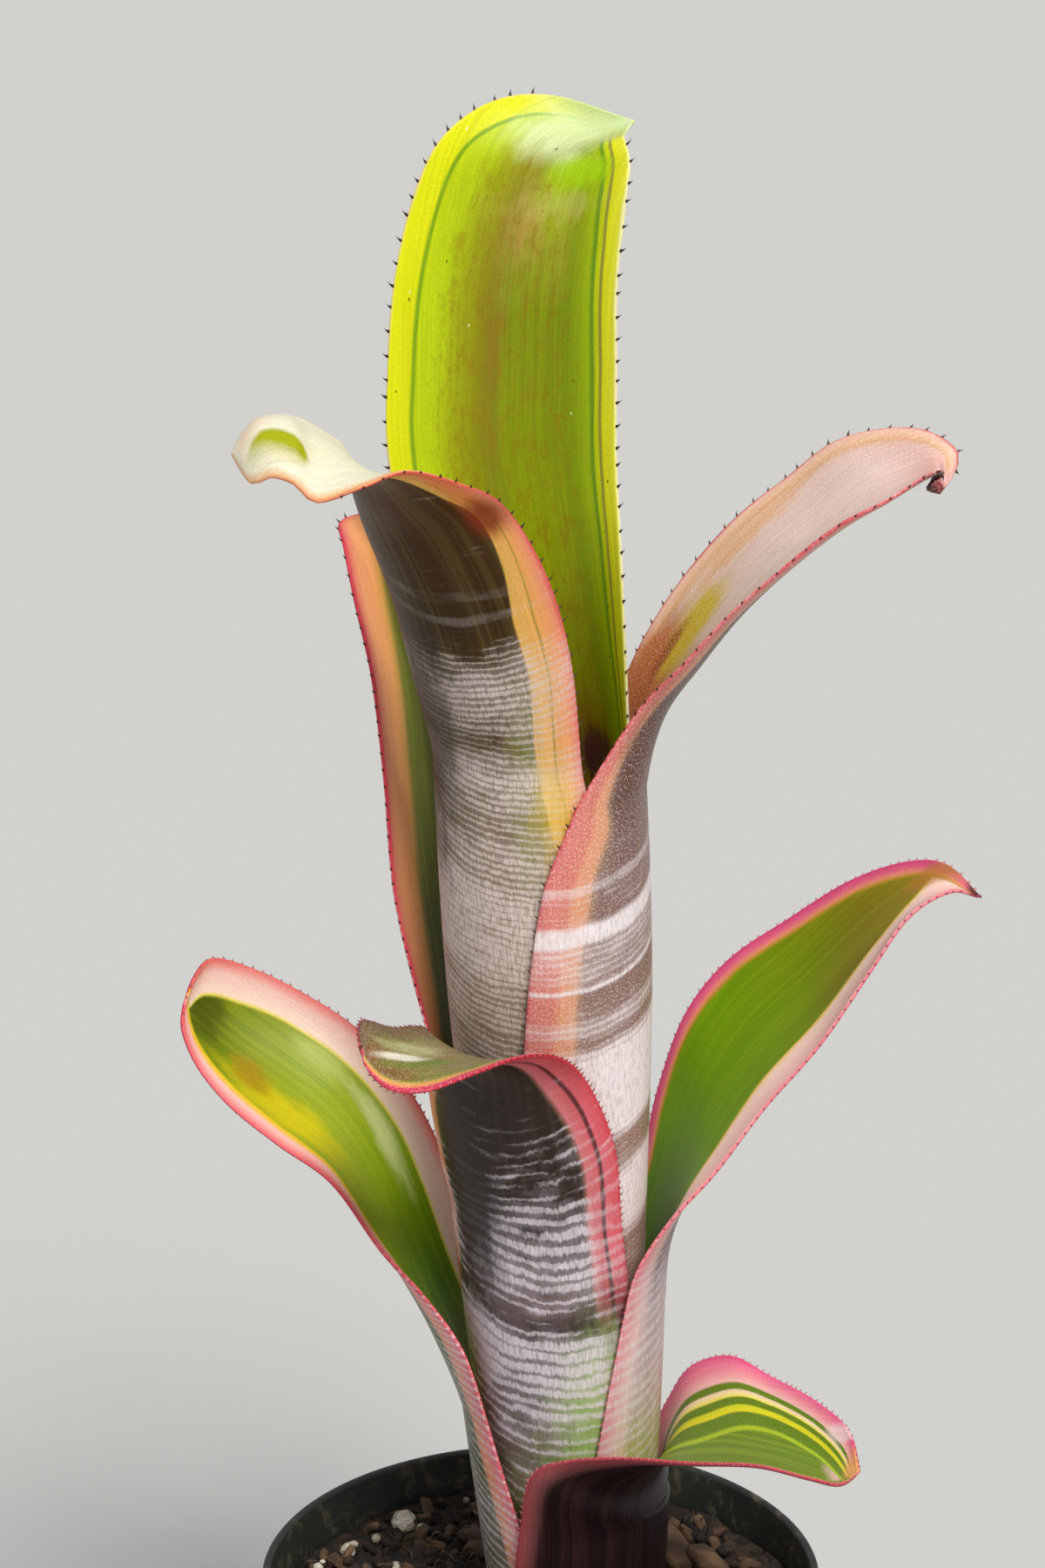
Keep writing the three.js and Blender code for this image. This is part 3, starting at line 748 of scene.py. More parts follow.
# Bands dip to the front by their tilt. Rows thicken by the weight of the density, and where
# it is greatest they close to a solid cover.
BAND_TILT = 0.35
BAND_TOP = 270.0
ROW_UNEVEN = 0.9
ROW_STAGGER = 0.55
ROW_WEIGHT = 0.8
ROW_EDGE = (0.85, 1.45)
SOLID_EDGE = (0.1, 1.2)
BARE_EDGE = (0.0, 0.5)
THREAD_EDGE = (0.36, 0.56)
LINE_EDGE = (0.6, 1.4)
LINE_BREAKS = (0.35, 0.6)


class LeafShader(Shader):
    """A shader that knows its place on a leaf: across, along, from each margin and the tip."""

    def __init__(self, name, seed):
        super().__init__(name)
        self.seed = seed
        self.across, self.along, _ = self.parts(self.attribute("leaf_place"))
        self.from_cw, self.from_ccw, self.to_tip = self.parts(self.attribute("leaf_margin"))

    def leaf_noise(self, spread, offset, height=None, **texture):
        """Noise spread out over the leaf, or over the height of its bands."""
        place = self.vector(self.times(self.across, spread[0]),
                            self.times(self.along if height is None else height, spread[1]),
                            self.seed + offset)
        return self.noise(place, **texture)


def lay_margin(shader, base, distance, look, stops):
    """Lays a coloured margin over the base. stops are (mm, colour) or (mm, colour, cover).
    The margin may narrow or fade towards the tip and start above the root."""
    if "narrow" in look:
        close, far, factor = look["narrow"]
        near_tip = shader.inverse(shader.step(shader.to_tip, close, far))
        distance = shader.times(distance, shader.line(near_tip, factor - 1, 1.0))
    tint, cover = shader.ramp(shader.math("DIVIDE", distance, MARGIN_REACH),
                              [(mm / MARGIN_REACH, *rest) for mm, *rest in stops])
    for name, measure in (("fade", shader.to_tip), ("rise", shader.along)):
        if name in look:
            cover = shader.times(cover, shader.step(measure, *look[name]))
    return shader.mix(cover, base, tint)


def band_height(shader, look):
    """Height of a place on the scale of the bands, which dip to the front and waver."""
    depth = shader.parts(shader.place())[1]
    height = shader.line(depth, -BAND_TILT / MM, shader.along)
    waver = shader.leaf_noise(BAND_WAVER, 0, height)
    uneven = shader.noise(shader.vector(
        shader.times(height, ROW_UNEVEN / look["spacing"]), shader.seed, shader.seed))
    height = shader.line(shader.centred(waver), look.get("waver", 2.0), height)
    return shader.line(shader.centred(uneven), look["spacing"] * ROW_UNEVEN, height)


def scurf_rows(shader, height, thick, look):
    """Cover of the rows of scurf, from threads where it is thin to a solid cover."""
    stagger = shader.leaf_noise(BAND_STAGGER, 2)
    rows = shader.wave(shader.line(stagger, look["spacing"] * ROW_STAGGER, height), look["spacing"])
    rows = shader.step(shader.line(thick, ROW_WEIGHT, rows), *ROW_EDGE)
    gaps = look.get("gaps", 0.6)
    solid = shader.times(shader.step(thick, *SOLID_EDGE), 1.0 - gaps)
    cover = shader.math("ADD", shader.times(rows, gaps), solid)
    return shader.times(cover, shader.step(thick, *BARE_EDGE))


def scurf_line(shader, height, patches, place, half, strength):
    """Cover of one pale line at a height, more broken where it is weaker."""
    gap = shader.math("ABSOLUTE", shader.math("SUBTRACT", height, place))
    inside = shader.inverse(shader.step(gap, *[half * part for part in LINE_EDGE]))
    whole = shader.line(shader.step(patches, *LINE_BREAKS), 1.0 - strength, strength)
    return shader.times(inside, shader.times(whole, strength))


def lay_bands(shader, base, look):
    """Silvery scurf in rows across the leaf: thicker rows where the density for their height
    is greater, patchy, and cut into short threads by the veins. Returns colour and cover."""
    height = band_height(shader, look)
    density, _ = shader.linear_ramp(shader.math("DIVIDE", height, BAND_TOP), [
        (place / BAND_TOP, (share, share, share, 1.0)) for place, share in look["density"]])
    patches = shader.leaf_noise(BAND_PATCHES, 5, height, detail=3, roughness=0.6)
    thick = shader.line(shader.centred(patches), look.get("patchy", 1.0), density)
    cover = scurf_rows(shader, height, thick, look)
    for line in look.get("lines", ()):
        cover = shader.math("MAXIMUM", cover, scurf_line(shader, height, patches, *line))
    cut = look.get("cut", 0.5)
    threads = shader.line(shader.step(shader.leaf_noise(BAND_THREADS, 9), *THREAD_EDGE),
                          cut, 1.0 - cut)
    cover = shader.math("MULTIPLY", cover, shader.times(threads, look["strength"]), clamp=True)
    if "edge" in look:
        near, far, share = look["edge"]
        inside = shader.step(shader.from_ccw, near, far)
        cover = shader.times(cover, shader.line(inside, 1.0 - share, share))
    return shader.mix(cover, base, look["colour"]), cover


def blush(place, half_size, tint, cover, core=0.3, ragged=1.2):
    """A patch of colour: its place and half its size across and along the leaf in millimetres,
    its colour and cover, how much of it is solid core, and how ragged its edge is."""
    return dict(place=place, half_size=half_size, tint=tint, cover=cover, core=core, ragged=ragged)


def lay_blush(shader, base, spot):
    """Lays a patch with a cloudy edge over the base."""
    squares = []
    for value, middle, half in zip((shader.across, shader.along), spot["place"], spot["half_size"]):
        share = shader.math("DIVIDE", shader.math("SUBTRACT", value, middle), half)
        squares.append(shader.times(share, share))
    size = shader.math("SQRT", shader.math("ADD", *squares))
    cloud = shader.leaf_noise(BLUSH_CLOUD, 31, detail=3, roughness=0.6)
    ragged = shader.times(shader.centred(cloud), spot["ragged"])
    edge = shader.step(shader.math("ADD", size, ragged), spot["core"], BLUSH_END)
    return shader.mix(shader.times(shader.inverse(edge), spot["cover"]), base, spot["tint"])


def leaf_colours(shader, look):
    """Colour of a face from root to tip with its streaks, patches and margins."""
    share = shader.math("DIVIDE", shader.along, shader.math("ADD", shader.along, shader.to_tip))
    drift = shader.centred(shader.leaf_noise(CLOUD, 0))
    base, _ = shader.ramp(shader.math("ADD", share, shader.times(drift, BASE_DRIFT)), look["along"])
    streaks = shader.step(shader.leaf_noise(STREAKS, 3), *STREAK_EDGE)
    base = shader.mix(shader.times(streaks, look.get("streak", 0.2)), base,
                      look.get("streak_colour", LEMON))
    for spot in look.get("patches", ()):
        base = lay_blush(shader, base, spot)
    wobble = shader.times(drift, look.get("wobble", 1.2))
    for distance, side in ((shader.from_cw, "cw"), (shader.from_ccw, "ccw")):
        if side in look:
            base = lay_margin(shader, base, shader.math("ADD", distance, wobble), look, look[side])
    if "mottle" in look:
        cover, tint = look["mottle"]
        blots = shader.leaf_noise(BLOTS, 13, detail=6, roughness=0.8)
        nearest = shader.math("MINIMUM", shader.from_cw, shader.from_ccw)
        inside = shader.times(shader.step(nearest, *BLOTS_FROM_MARGIN), cover)
        base = shader.mix(shader.times(shader.step(blots, *BLOT_EDGE), inside), base, tint)
    return base


def lay_grain(shader, base, veins, grain, look):
    """Dusts a face with scurf, shades it by its veins and grain, and adds its specks."""
    if "scurf" in look:
        base = shader.mix(shader.times(shader.step(grain, *DUST_EDGE), look["scurf"]), base, SILVER)
    vein = look.get("vein", 0.4)
    light = shader.line(veins, vein, 1 - vein / 2)
    light = shader.times(light, shader.line(grain, *GRAIN_LIGHT))
    base = shader.mix(1.0, base, shader.vector(light, light, light), "MULTIPLY")
    for tint, offset, size in look.get("specks", ()):
        cells = shader.voronoi(shader.vector(
            shader.math("ADD", shader.across, offset), shader.times(shader.along, SPECK_SQUASH),
            shader.seed + offset), SPECK_SCALE)
        dots = shader.inverse(shader.step(cells, size / 2, size))
        base = shader.mix(shader.times(dots, SPECK_COVER), base, tint)
    return base


def face_material(name, look, seed):
    """One face of a leaf: its colours, scurf, veins, grain and specks."""
    shader = LeafShader(name, seed)
    base = leaf_colours(shader, look)
    silver = 0.0
    if "bands" in look:
        base, silver = lay_bands(shader, base, look["bands"])
    for spot in look.get("shade", ()):
        base = lay_blush(shader, base, spot)
    veins = shader.leaf_noise(VEINS, 7)
    grain = shader.noise(shader.vector(shader.across, shader.along, seed), GRAIN_SCALE,
                         detail=1, roughness=0.6)
    base = lay_grain(shader, base, veins, grain, look)
    height = shader.line(silver, 0.8, shader.line(grain, 0.5, veins))
    rough = shader.line(silver, 0.3, shader.line(grain, 0.2, look.get("roughness", 0.4) - 0.1))
    normal = shader.bump(height, strength=0.45, distance_mm=0.12)
    return shader.finish(base, rough, normal, look.get("gloss", 0.2))


def spine_material(name, tints):
    """Spines of one colour at the root and another from a third of their length on."""
    shader = Shader(name)
    reach, _, _ = shader.parts(shader.attribute("leaf_place"))
    root, point = tints
    base, _ = shader.ramp(reach, [(0.0, root), (0.35, point), (1.0, point)])
    return shader.finish(base, roughness=0.4)


DARK_SPINE = ((130, 60, 44), (26, 14, 14))
RED_SPINE = ((205, 70, 76), (104, 26, 32))
PINK_SPINE = ((236, 150, 150), (170, 70, 84))

UNDER_MARGIN = [(0.0, ROSE), (1.2, PINK), (3.4, SALMON), (4.8, SALMON, 0.8), (5.6, OLIVE, 0.0)]
FADED_BANDS = [(0, 0.2), (20, 0.5), (40, 0.8), (52, 0.5), (66, 0.8), (90, 0.5), (110, 0.0)]

# Looks of each leaf's upper face, under face and spines. along runs from root to tip as 0 to 1.
# cw and ccw are the stripes of the clockwise and the other margin, in mm from it. patches lie
# under the margins and shade lies over the bands, whose density is given by height in mm.
# shade holds patches of the leaf's own colour as well as painted shadows and painted highlights.
LOOKS = {
    "leaf_1_lowest_right": dict(
        upper=dict(
            along=[(0.0, PALE_LEMON), (0.4, GREEN), (0.9, GREEN), (0.95, PALE_PINK), (1.0, RUST)],
            streak=0.3, streak_colour=(172, 188, 20), wobble=0.8, scurf=0.1,
            cw=[(0.0, ROSE), (1.4, PALE_PINK), (2.0, AMBER), (3.4, LEMON), (4.2, GREEN),
                (6.0, GREEN),
                (6.4, (184, 198, 16)), (7.2, GREEN), (9.0, GREEN, 0.0)],
            ccw=[(0.0, (232, 60, 120)), (0.8, (248, 112, 156)), (3.4, (255, 150, 168)),
                 (6.4, (255, 198, 190)), (6.9, GREEN), (8.4, GREEN), (8.8, (255, 222, 190)),
                 (9.8, (255, 236, 160)), (10.6, (246, 232, 80)), (11.0, GREEN), (12.9, GREEN),
                 (13.4, (216, 220, 20)), (15.2, (236, 226, 20)), (15.8, GREEN), (20.4, GREEN),
                 (21.4, (176, 200, 20)), (22.6, (176, 200, 20)), (23.6, GREEN, 0.0)],
            narrow=(20, 42, 1.6),
            shade=[
                blush((0, 101), (8, 4), (240, 170, 96), 0.95, ragged=0.5),
                blush((9, 96), (3, 4), (255, 232, 232), 0.7),
            ]),
        under=dict(
            along=[(0.0, PLUM), (0.6, PLUM), (1.0, (70, 34, 44))], streak=0.3,
            streak_colour=(70, 44, 46), vein=0.8,
            cw=[(0.0, (176, 70, 82)), (1.4, (160, 82, 84)), (3.4, (104, 60, 62)), (5.0, PLUM, 0.0)],
            ccw=UNDER_MARGIN),
        spine=PINK_SPINE),
    "leaf_2_lower_left": dict(
        upper=dict(
            along=[(0.0, PALE_LEMON), (0.5, (88, 132, 2)), (0.62, (134, 166, 4)),
                   (0.72, (150, 170, 40)), (0.87, (134, 152, 20)), (0.95, (96, 114, 5)),
                   (1.0, (84, 80, 10))],
            streak=0.08, vein=0.2,
            cw=[(0.0, (240, 112, 106)), (0.9, (252, 152, 144)), (2.6, (255, 208, 198)),
                (6.2, (255, 228, 208)), (6.9, (234, 220, 90)), (7.6, GREEN, 0.0)],
            ccw=[(0.0, (236, 96, 104)), (1.0, (252, 146, 146)), (3.6, (255, 196, 190)),
                 (4.8, (246, 190, 90)), (5.7, (226, 198, 20)), (6.8, GREEN, 0.0)],
            patches=[
                blush((7, 124), (6, 18), (210, 194, 10), 0.8),
                blush((4, 132), (4.5, 6), (158, 130, 10), 0.85),
                blush((-9, 100), (3.5, 13), (214, 226, 150), 0.85),
                blush((-9, 118), (3, 8), (190, 206, 100), 0.6),
                blush((-3, 144), (7, 7), (74, 84, 4), 0.8),
            ]),
        under=dict(
            along=[(0.0, (100, 76, 66)), (0.5, DEEP_GREEN), (1.0, PLUM)], streak_colour=OLIVE,
            cw=UNDER_MARGIN, ccw=UNDER_MARGIN,
            bands=dict(spacing=2.0, density=FADED_BANDS, strength=0.7, colour=SILVER)),
        spine=PINK_SPINE),
    "leaf_3_lower_right": dict(
        upper=dict(
            along=[(0.0, PALE_LEMON), (0.46, (84, 124, 2)), (0.56, (106, 150, 2)),
                   (0.68, (108, 146, 2)), (0.78, (112, 134, 4)), (0.86, (126, 116, 14)),
                   (0.95, (146, 126, 30)), (1.0, (196, 154, 90))],
            streak=0.12, streak_colour=(160, 180, 20),
            cw=[(0.0, (232, 132, 140)), (0.6, (252, 196, 190)), (5.0, (255, 216, 204)),
                (7.5, (255, 222, 200)), (8.6, (244, 200, 110)), (9.4, (160, 160, 20), 0.0)],
            ccw=[(0.0, MAGENTA), (1.6, (222, 100, 130)), (2.5, (226, 140, 110)),
                 (3.1, (190, 140, 50)),
                 (4.0, GREEN, 0.0)],
            shade=[
                blush((3, 171), (3, 9), (176, 118, 50), 0.8, ragged=0.6),
                blush((0, 178), (3.5, 2.5), (84, 40, 24), 0.95, ragged=0.4),
            ]),
        under=dict(
            along=[(0.0, (144, 150, 56)), (0.28, (166, 164, 76)), (0.34, (176, 152, 150)),
                   (0.44, (166, 148, 154)), (0.49, (98, 66, 68)), (1.0, (66, 26, 38))],
            streak_colour=PALE_PINK,
            cw=[(0.0, PINK), (1.5, (224, 150, 156)), (4.0, PALE_PINK, 0.7), (7.0, PALE_PINK, 0.0)],
            ccw=[(0.0, (90, 28, 40)), (3.0, ROSE), (5.0, PALE_PINK, 0.0)],
            bands=dict(spacing=2.4, gaps=0.5, density=FADED_BANDS, strength=0.8, colour=LAVENDER)),
        spine=PINK_SPINE),
    "leaf_4_lower_front": dict(
        upper=dict(
            along=[(0.0, PALE_LEMON), (0.6, (120, 130, 20)), (0.8, (134, 112, 66)),
                   (0.88, (146, 132, 84)), (0.95, (134, 128, 50)), (1.0, (130, 60, 36))],
            streak=0.4, streak_colour=(120, 136, 34), scurf=0.2, gloss=0.5,
            mottle=(0.4, (150, 84, 60)),
            cw=[(0.0, (120, 50, 40)), (0.7, (116, 88, 54)), (3.5, (126, 106, 66)),
                (5.5, OLIVE, 0.0)],
            ccw=[(0.0, (200, 40, 70)), (0.9, (220, 72, 100)), (1.5, (236, 150, 96)),
                 (2.3, (226, 168, 80)), (3.0, (176, 166, 80), 0.6), (4.2, OLIVE, 0.0)],
            patches=[
                blush((-4, 149), (3.5, 10), (204, 208, 150), 0.7),
                blush((2, 150), (2.4, 11), (106, 130, 20), 0.9),
                # painted highlight: a near-white glint along the tip
                blush((0, 154), (1.6, 8), (250, 248, 228), 0.9, ragged=0.8),
            ]),
        under=dict(
            # Darker upwards: the face's own dark brown deepened with painted shade where it faces
            # down
            along=[(0.0, (92, 126, 38)), (0.2, (108, 138, 50)), (0.28, (118, 116, 78)),
                   (0.34, (108, 94, 88)), (0.42, (64, 52, 52)), (0.52, (46, 36, 30)),
                   (0.72, (42, 28, 19)), (1.0, (66, 48, 34))],
            streak=0.25, streak_colour=(88, 68, 62), gloss=0.25,
            ccw=[(0.0, (196, 40, 56)), (0.8, (212, 78, 88)), (3.2, (218, 98, 110)),
                 (3.6, (96, 40, 44)), (4.0, (96, 40, 44)), (4.4, (206, 92, 100)),
                 (6.6, (210, 116, 120)), (7.9, OLIVE, 0.0)],
            cw=UNDER_MARGIN, rise=(74, 92),
            patches=[
                blush((16, 44), (15, 38), (150, 182, 92), 0.95, core=0.5, ragged=0.7),
                blush((2, 84), (16, 9), (116, 96, 96), 0.7),
            ],
            bands=dict(
                spacing=2.5, waver=4.0, patchy=1.9, gaps=0.62, strength=0.9, cut=0.35,
                colour=LAVENDER,
                edge=(5.0, 8.0, 0.5),
                density=[(0, 0.2), (30, 0.3), (50, 0.4), (58, 0.5), (66, 0.7), (71, 1.0), (79, 1.2),
                         (83, 0.3), (88, 0.4), (92, 0.85), (104, 0.75), (110, 0.4), (120, 0.25),
                         (128, 0.12), (134, 0.0)]),
            shade=[
                # The first two are painted shadow on the left part and on the top of this face
                blush((-9, 106), (8, 30), (38, 28, 22), 0.9, core=0.5, ragged=0.8),
                blush((0, 118), (12, 9), (44, 34, 28), 0.7),
                blush((-12, 72), (8, 11), (200, 190, 198), 0.6, ragged=2.0),
            ]),
        spine=RED_SPINE),
    "leaf_5_back_left": dict(
        upper=dict(
            along=[(0.0, PALE_LEMON), (0.5, (96, 110, 20)), (1.0, (110, 118, 34))],
            streak_colour=(150, 150, 40),
            cw=[(0.0, (204, 80, 80)), (1.0, (196, 136, 60)), (2.2, GREEN, 0.0)],
            ccw=[(0.0, ROSE), (1.0, (230, 126, 108)), (3.0, (238, 160, 110)),
                 (7.0, (236, 162, 100)),
                 (9.0, (214, 160, 80)), (10.5, (134, 128, 50)), (12.0, (108, 114, 30), 0.0)]),
        under=dict(
            along=[(0.0, MAUVE), (0.5, OLIVE), (1.0, (100, 96, 44))], streak_colour=MAUVE,
            cw=UNDER_MARGIN,
            ccw=[(0.0, ROSE), (0.8, (226, 116, 108)), (4.0, (236, 156, 116)), (8.0, (230, 156, 98)),
                 (10.0, (150, 120, 60), 0.0)],
            bands=dict(
                spacing=1.7, density=[(0, 0.3), (60, 0.8), (100, 0.5), (150, 0.7), (190, 0.0)],
                strength=0.8, colour=SILVER)),
        spine=DARK_SPINE),
    "leaf_6_upper_right": dict(
        upper=dict(
            # Pale pink-white face: silvery scurf with painted glare on it; the dark red end is the
            # tip's own red deepened with painted shade
            along=[(0.0, PALE_LEMON), (0.6, (146, 106, 40)), (0.72, (170, 116, 60)),
                   (0.79, (226, 198, 180)), (0.85, (232, 206, 198)), (0.94, (234, 204, 196)),
                   (0.987, (226, 172, 162)), (0.992, (136, 28, 34)), (1.0, (86, 22, 22))],
            streak=0.25, streak_colour=(206, 176, 160), scurf=0.25, roughness=0.5, fade=(2.0, 4.5),
            mottle=(0.25, (190, 160, 140)),
            # The wide pale band inside this margin is partly painted highlight
            cw=[(0.0, (214, 90, 92)), (0.7, (246, 196, 188)), (3.0, (250, 216, 206)),
                (5.0, PALE_PINK, 0.0)],
            ccw=[(0.0, (206, 90, 84)), (0.6, (246, 196, 178)), (1.6, (240, 196, 160)),
                 (2.4, (226, 172, 120), 0.8), (3.6, (226, 190, 170), 0.3), (5.0, PALE_PINK, 0.0)],
            patches=[blush((12, 222), (3, 18), (226, 164, 100), 0.7)],
            shade=[
                blush((11, 190), (7, 14), (192, 108, 52), 0.95, core=0.5, ragged=0.8),
                blush((7.5, 202), (5, 12), (206, 178, 12), 0.95, core=0.4, ragged=0.8),
                blush((10, 196), (1.6, 8), (150, 70, 16), 0.8),
            ]),
        under=dict(
            # The dark red end is the tip's own red deepened with painted shade on the hanging flap
            along=[(0.0, (148, 116, 102)), (0.45, (148, 114, 102)), (0.62, (126, 92, 88)),
                   (0.7, (108, 78, 78)), (0.8, (94, 54, 46)), (0.93, (94, 40, 36)),
                   (1.0, (88, 18, 18))],
            streak=0.3, streak_colour=(142, 118, 84), scurf=0.35, gloss=0.25,
            cw=[(0.0, (214, 92, 98)), (1.0, (220, 124, 116)), (4.5, (218, 126, 108)),
                (6.0, (226, 154, 116)), (8.2, (218, 154, 116)), (9.0, (166, 126, 98)),
                (11.0, MAUVE, 0.0)],
            narrow=(74, 92, 2.4), fade=(6, 16), ccw=UNDER_MARGIN,
            shade=[blush((-9, 183), (7, 16), (96, 56, 38), 0.85, ragged=0.8)],
            bands=dict(
                spacing=1.3, gaps=0.3, patchy=0.9, strength=1.0, cut=0.3, colour=SILVER,
                lines=[(157.5, 1.8, 1.0), (147.6, 0.45, 0.9), (166.0, 0.8, 0.5)],
                density=[(0, 0.6), (95, 0.3), (100, 1.5), (108, 1.5), (112, 0.2), (116, 0.3),
                         (120, 1.6), (133, 1.6), (137, 0.2), (140, 0.7), (143, 0.2), (146, 0.15),
                         (149.5, 0.5), (155, 0.6), (157, 0.3), (163, 0.25), (166, 0.35), (170, 0.1),
                         (180, 0.0)])),
        spine=DARK_SPINE),
    "leaf_7_upper_left": dict(
        upper=dict(
            # The cream tip is partly the white margin's own colour, partly painted glare on the
            # near half
            along=[(0.0, PALE_LEMON), (0.6, GREEN), (0.8, (206, 200, 130)), (0.87, CREAM),
                   (0.97, CREAM), (1.0, (240, 200, 170))],
            streak_colour=MINT,
            cw=[(0.0, (244, 206, 190)), (0.7, CREAM), (3.0, CREAM), (6.0, CREAM, 0.0)],
            ccw=[(0.0, (222, 140, 100)), (0.6, (240, 190, 140)), (2.0, CREAM), (5.0, CREAM, 0.5),
                 (7.0, CREAM, 0.0)],
            patches=[blush((4.6, 259), (4.4, 6.5), (168, 172, 8), 1.0, core=0.8, ragged=0.3)]),
        under=dict(
            # The dark band from 0.72 to 0.86 is the brown-olive face deepened with painted shade
            # under the bend
            along=[(0.0, (120, 96, 66)), (0.45, (126, 96, 68)), (0.6, (102, 80, 46)),
                   (0.72, (80, 60, 28)), (0.78, (56, 38, 15)), (0.86, (74, 46, 16)),
                   (1.0, (104, 56, 24))],
            gloss=0.12, streak=0.25, streak_colour=(116, 104, 50), narrow=(36, 62, 1.8),
            cw=[(0.0, (104, 110, 30)), (2.0, OLIVE, 0.6), (4.0, OLIVE, 0.0)],
            ccw=[(0.0, (210, 84, 80)), (0.8, (232, 134, 112)), (1.8, (236, 154, 108)),
                 (4.3, (232, 166, 90)), (4.6, (160, 140, 56)), (4.9, (232, 172, 92)),
                 (7.8, (226, 176, 88)), (8.3, OLIVE, 0.0)],
            patches=[
                blush((-16, 130), (8, 60), MAUVE, 0.5),
                blush((10, 176), (5, 26), (124, 128, 46), 0.7),
            ],
            bands=dict(
                spacing=1.3, gaps=0.5, strength=0.95, patchy=1.2, cut=0.4, colour=(224, 208, 202),
                edge=(5.0, 8.0, 0.6), lines=[(222.0, 0.9, 0.12), (217.5, 0.8, 0.16)],
                density=[(0, 0.6), (100, 0.7), (140, 0.8), (146, 0.8), (151, 1.3), (164, 1.3),
                         (167, 0.8), (171, 0.9), (175, 0.75), (179, 0.6), (183, 0.9), (187, 1.1),
                         (190, 0.7), (194, 0.4), (198, 0.8), (203, 1.0), (208, 0.6), (213, 0.15),
                         (217, 0.0)]),
            shade=[
                # painted shadow below the bend
                blush((-12, 190), (12, 36), (52, 40, 24), 0.75),
                blush((15.5, 232), (3, 12), (224, 112, 56), 0.5, ragged=0.6),
                blush((16, 226), (4.5, 5), (126, 34, 16), 0.85, ragged=0.6),
                blush((14, 174), (5, 13), (228, 192, 50), 0.45),
            ]),
        spine=DARK_SPINE),
    "leaf_8_centre": dict(
        upper=dict(
            along=[(0.0, PALE_LEMON), (0.55, (70, 40, 20)), (0.6, (140, 104, 20)),
                   (0.64, (146, 148, 4)), (0.69, (150, 164, 4)), (0.74, (136, 152, 5)),
                   (0.84, (126, 144, 4)), (0.885, (156, 158, 40)), (0.91, (162, 184, 26)),
                   # The pale mint end is painted highlight where the tip bends forward
                   (0.93, (168, 200, 12)), (0.95, (204, 224, 140)), (1.0, (214, 234, 176))],
            streak=0.12, streak_colour=(176, 196, 10), mottle=(0.55, (148, 116, 14)),
            specks=[((240, 240, 190), 0, 0.045), ((70, 60, 20), 5, 0.06)], fade=(3, 14),
            cw=[(0.0, (244, 238, 170)), (0.5, (236, 236, 60)), (3.0, LEMON), (3.3, (160, 156, 60)),
                (3.7, (150, 146, 60)), (4.0, (204, 212, 12)), (4.8, (190, 206, 10)),
                (5.1, (112, 152, 24)), (5.5, (112, 152, 24)), (6.2, (164, 188, 8)),
                (9.0, (136, 162, 4), 0.8), (12.0, GREEN, 0.0)],
            ccw=[(0.0, (236, 214, 130)), (0.4, LEMON), (4.3, (220, 224, 10)), (4.7, (146, 180, 14)),
                 (5.1, (120, 160, 14)), (5.6, (192, 212, 8)), (9.0, (182, 206, 6)),
                 (13.0, (158, 166, 6)), (17.0, (140, 140, 6), 0.8), (22.0, OLIVE, 0.0)],
            patches=[
                blush((2, 274), (9, 11), (188, 156, 72), 0.8, ragged=1.8),
                blush((4, 250), (4, 24), (156, 112, 16), 0.6, ragged=2.0),
            ],
            shade=[
                blush((-6, 275), (12, 4), (206, 196, 110), 0.35, ragged=2.0),
                blush((-9, 281.5), (7, 4.5), (166, 208, 8), 0.85),
                # painted highlight: mint glare over the tip
                blush((0, 291), (9.5, 9), (218, 232, 172), 0.9, ragged=0.8),
                blush((-8, 177), (6, 6), (76, 24, 48), 0.9),
            ]),
        under=dict(
            along=[(0.0, OLIVE), (0.5, (106, 102, 48)), (0.8, (108, 112, 36)),
                   (1.0, (120, 130, 34))],
            cw=[(0.0, CREAM), (0.5, LEMON), (3.4, AMBER), (4.6, OLIVE, 0.0)],
            ccw=[(0.0, CREAM), (0.5, LEMON), (5.0, AMBER), (6.4, OLIVE, 0.0)],
            bands=dict(
                spacing=1.5, strength=0.8, colour=SILVER,
                density=[(0, 0.5), (150, 0.8), (190, 0.5), (225, 0.7), (250, 0.5), (262, 0.0)])),
        spine=((70, 40, 26), (20, 12, 12))),
}


def turned(name, profile, material, sides=POT_SIDES):
    """A profile of (radius, height), closed at both ends, turned round the Z axis."""
    points = []
    rings = []
    for radius, height in profile:
        start = len(points)
        if radius == 0:
            points.append((0, 0, height))
            rings.append([start] * sides)
        else:
            points += [(radius * cosine, radius * sine, height) for cosine, sine in circle(sides)]
            rings.append(list(range(start, start + sides)))
    return mesh_object(name, points, ring_faces(rings), [material])


def bend(start, corner, end, steps=4):
    """Points of a rounded corner, without its two ends."""
    points = []
    for k in range(1, steps):
        t = k / steps
        points.append(tuple((1 - t) ** 2 * s + 2 * t * (1 - t) * c + t ** 2 * e
                            for s, c, e in zip(start, corner, end)))
    return points


def rounded(profile, cut=EDGE_ROUNDING, most=0.4):
    """The profile with each inner corner rounded by up to cut, and most of a side at most."""
    result = [profile[0]]
    for before, corner, after in zip(profile, profile[1:], profile[2:]):
        ends = []
        for other in (before, after):
            gap = math.dist(corner, other)
            share = min(cut, gap * most) / gap
            ends.append(tuple(c + (o - c) * share for c, o in zip(corner, other)))
        result += [ends[0], *bend(ends[0], corner, ends[1]), ends[1]]
    return result + [profile[-1]]


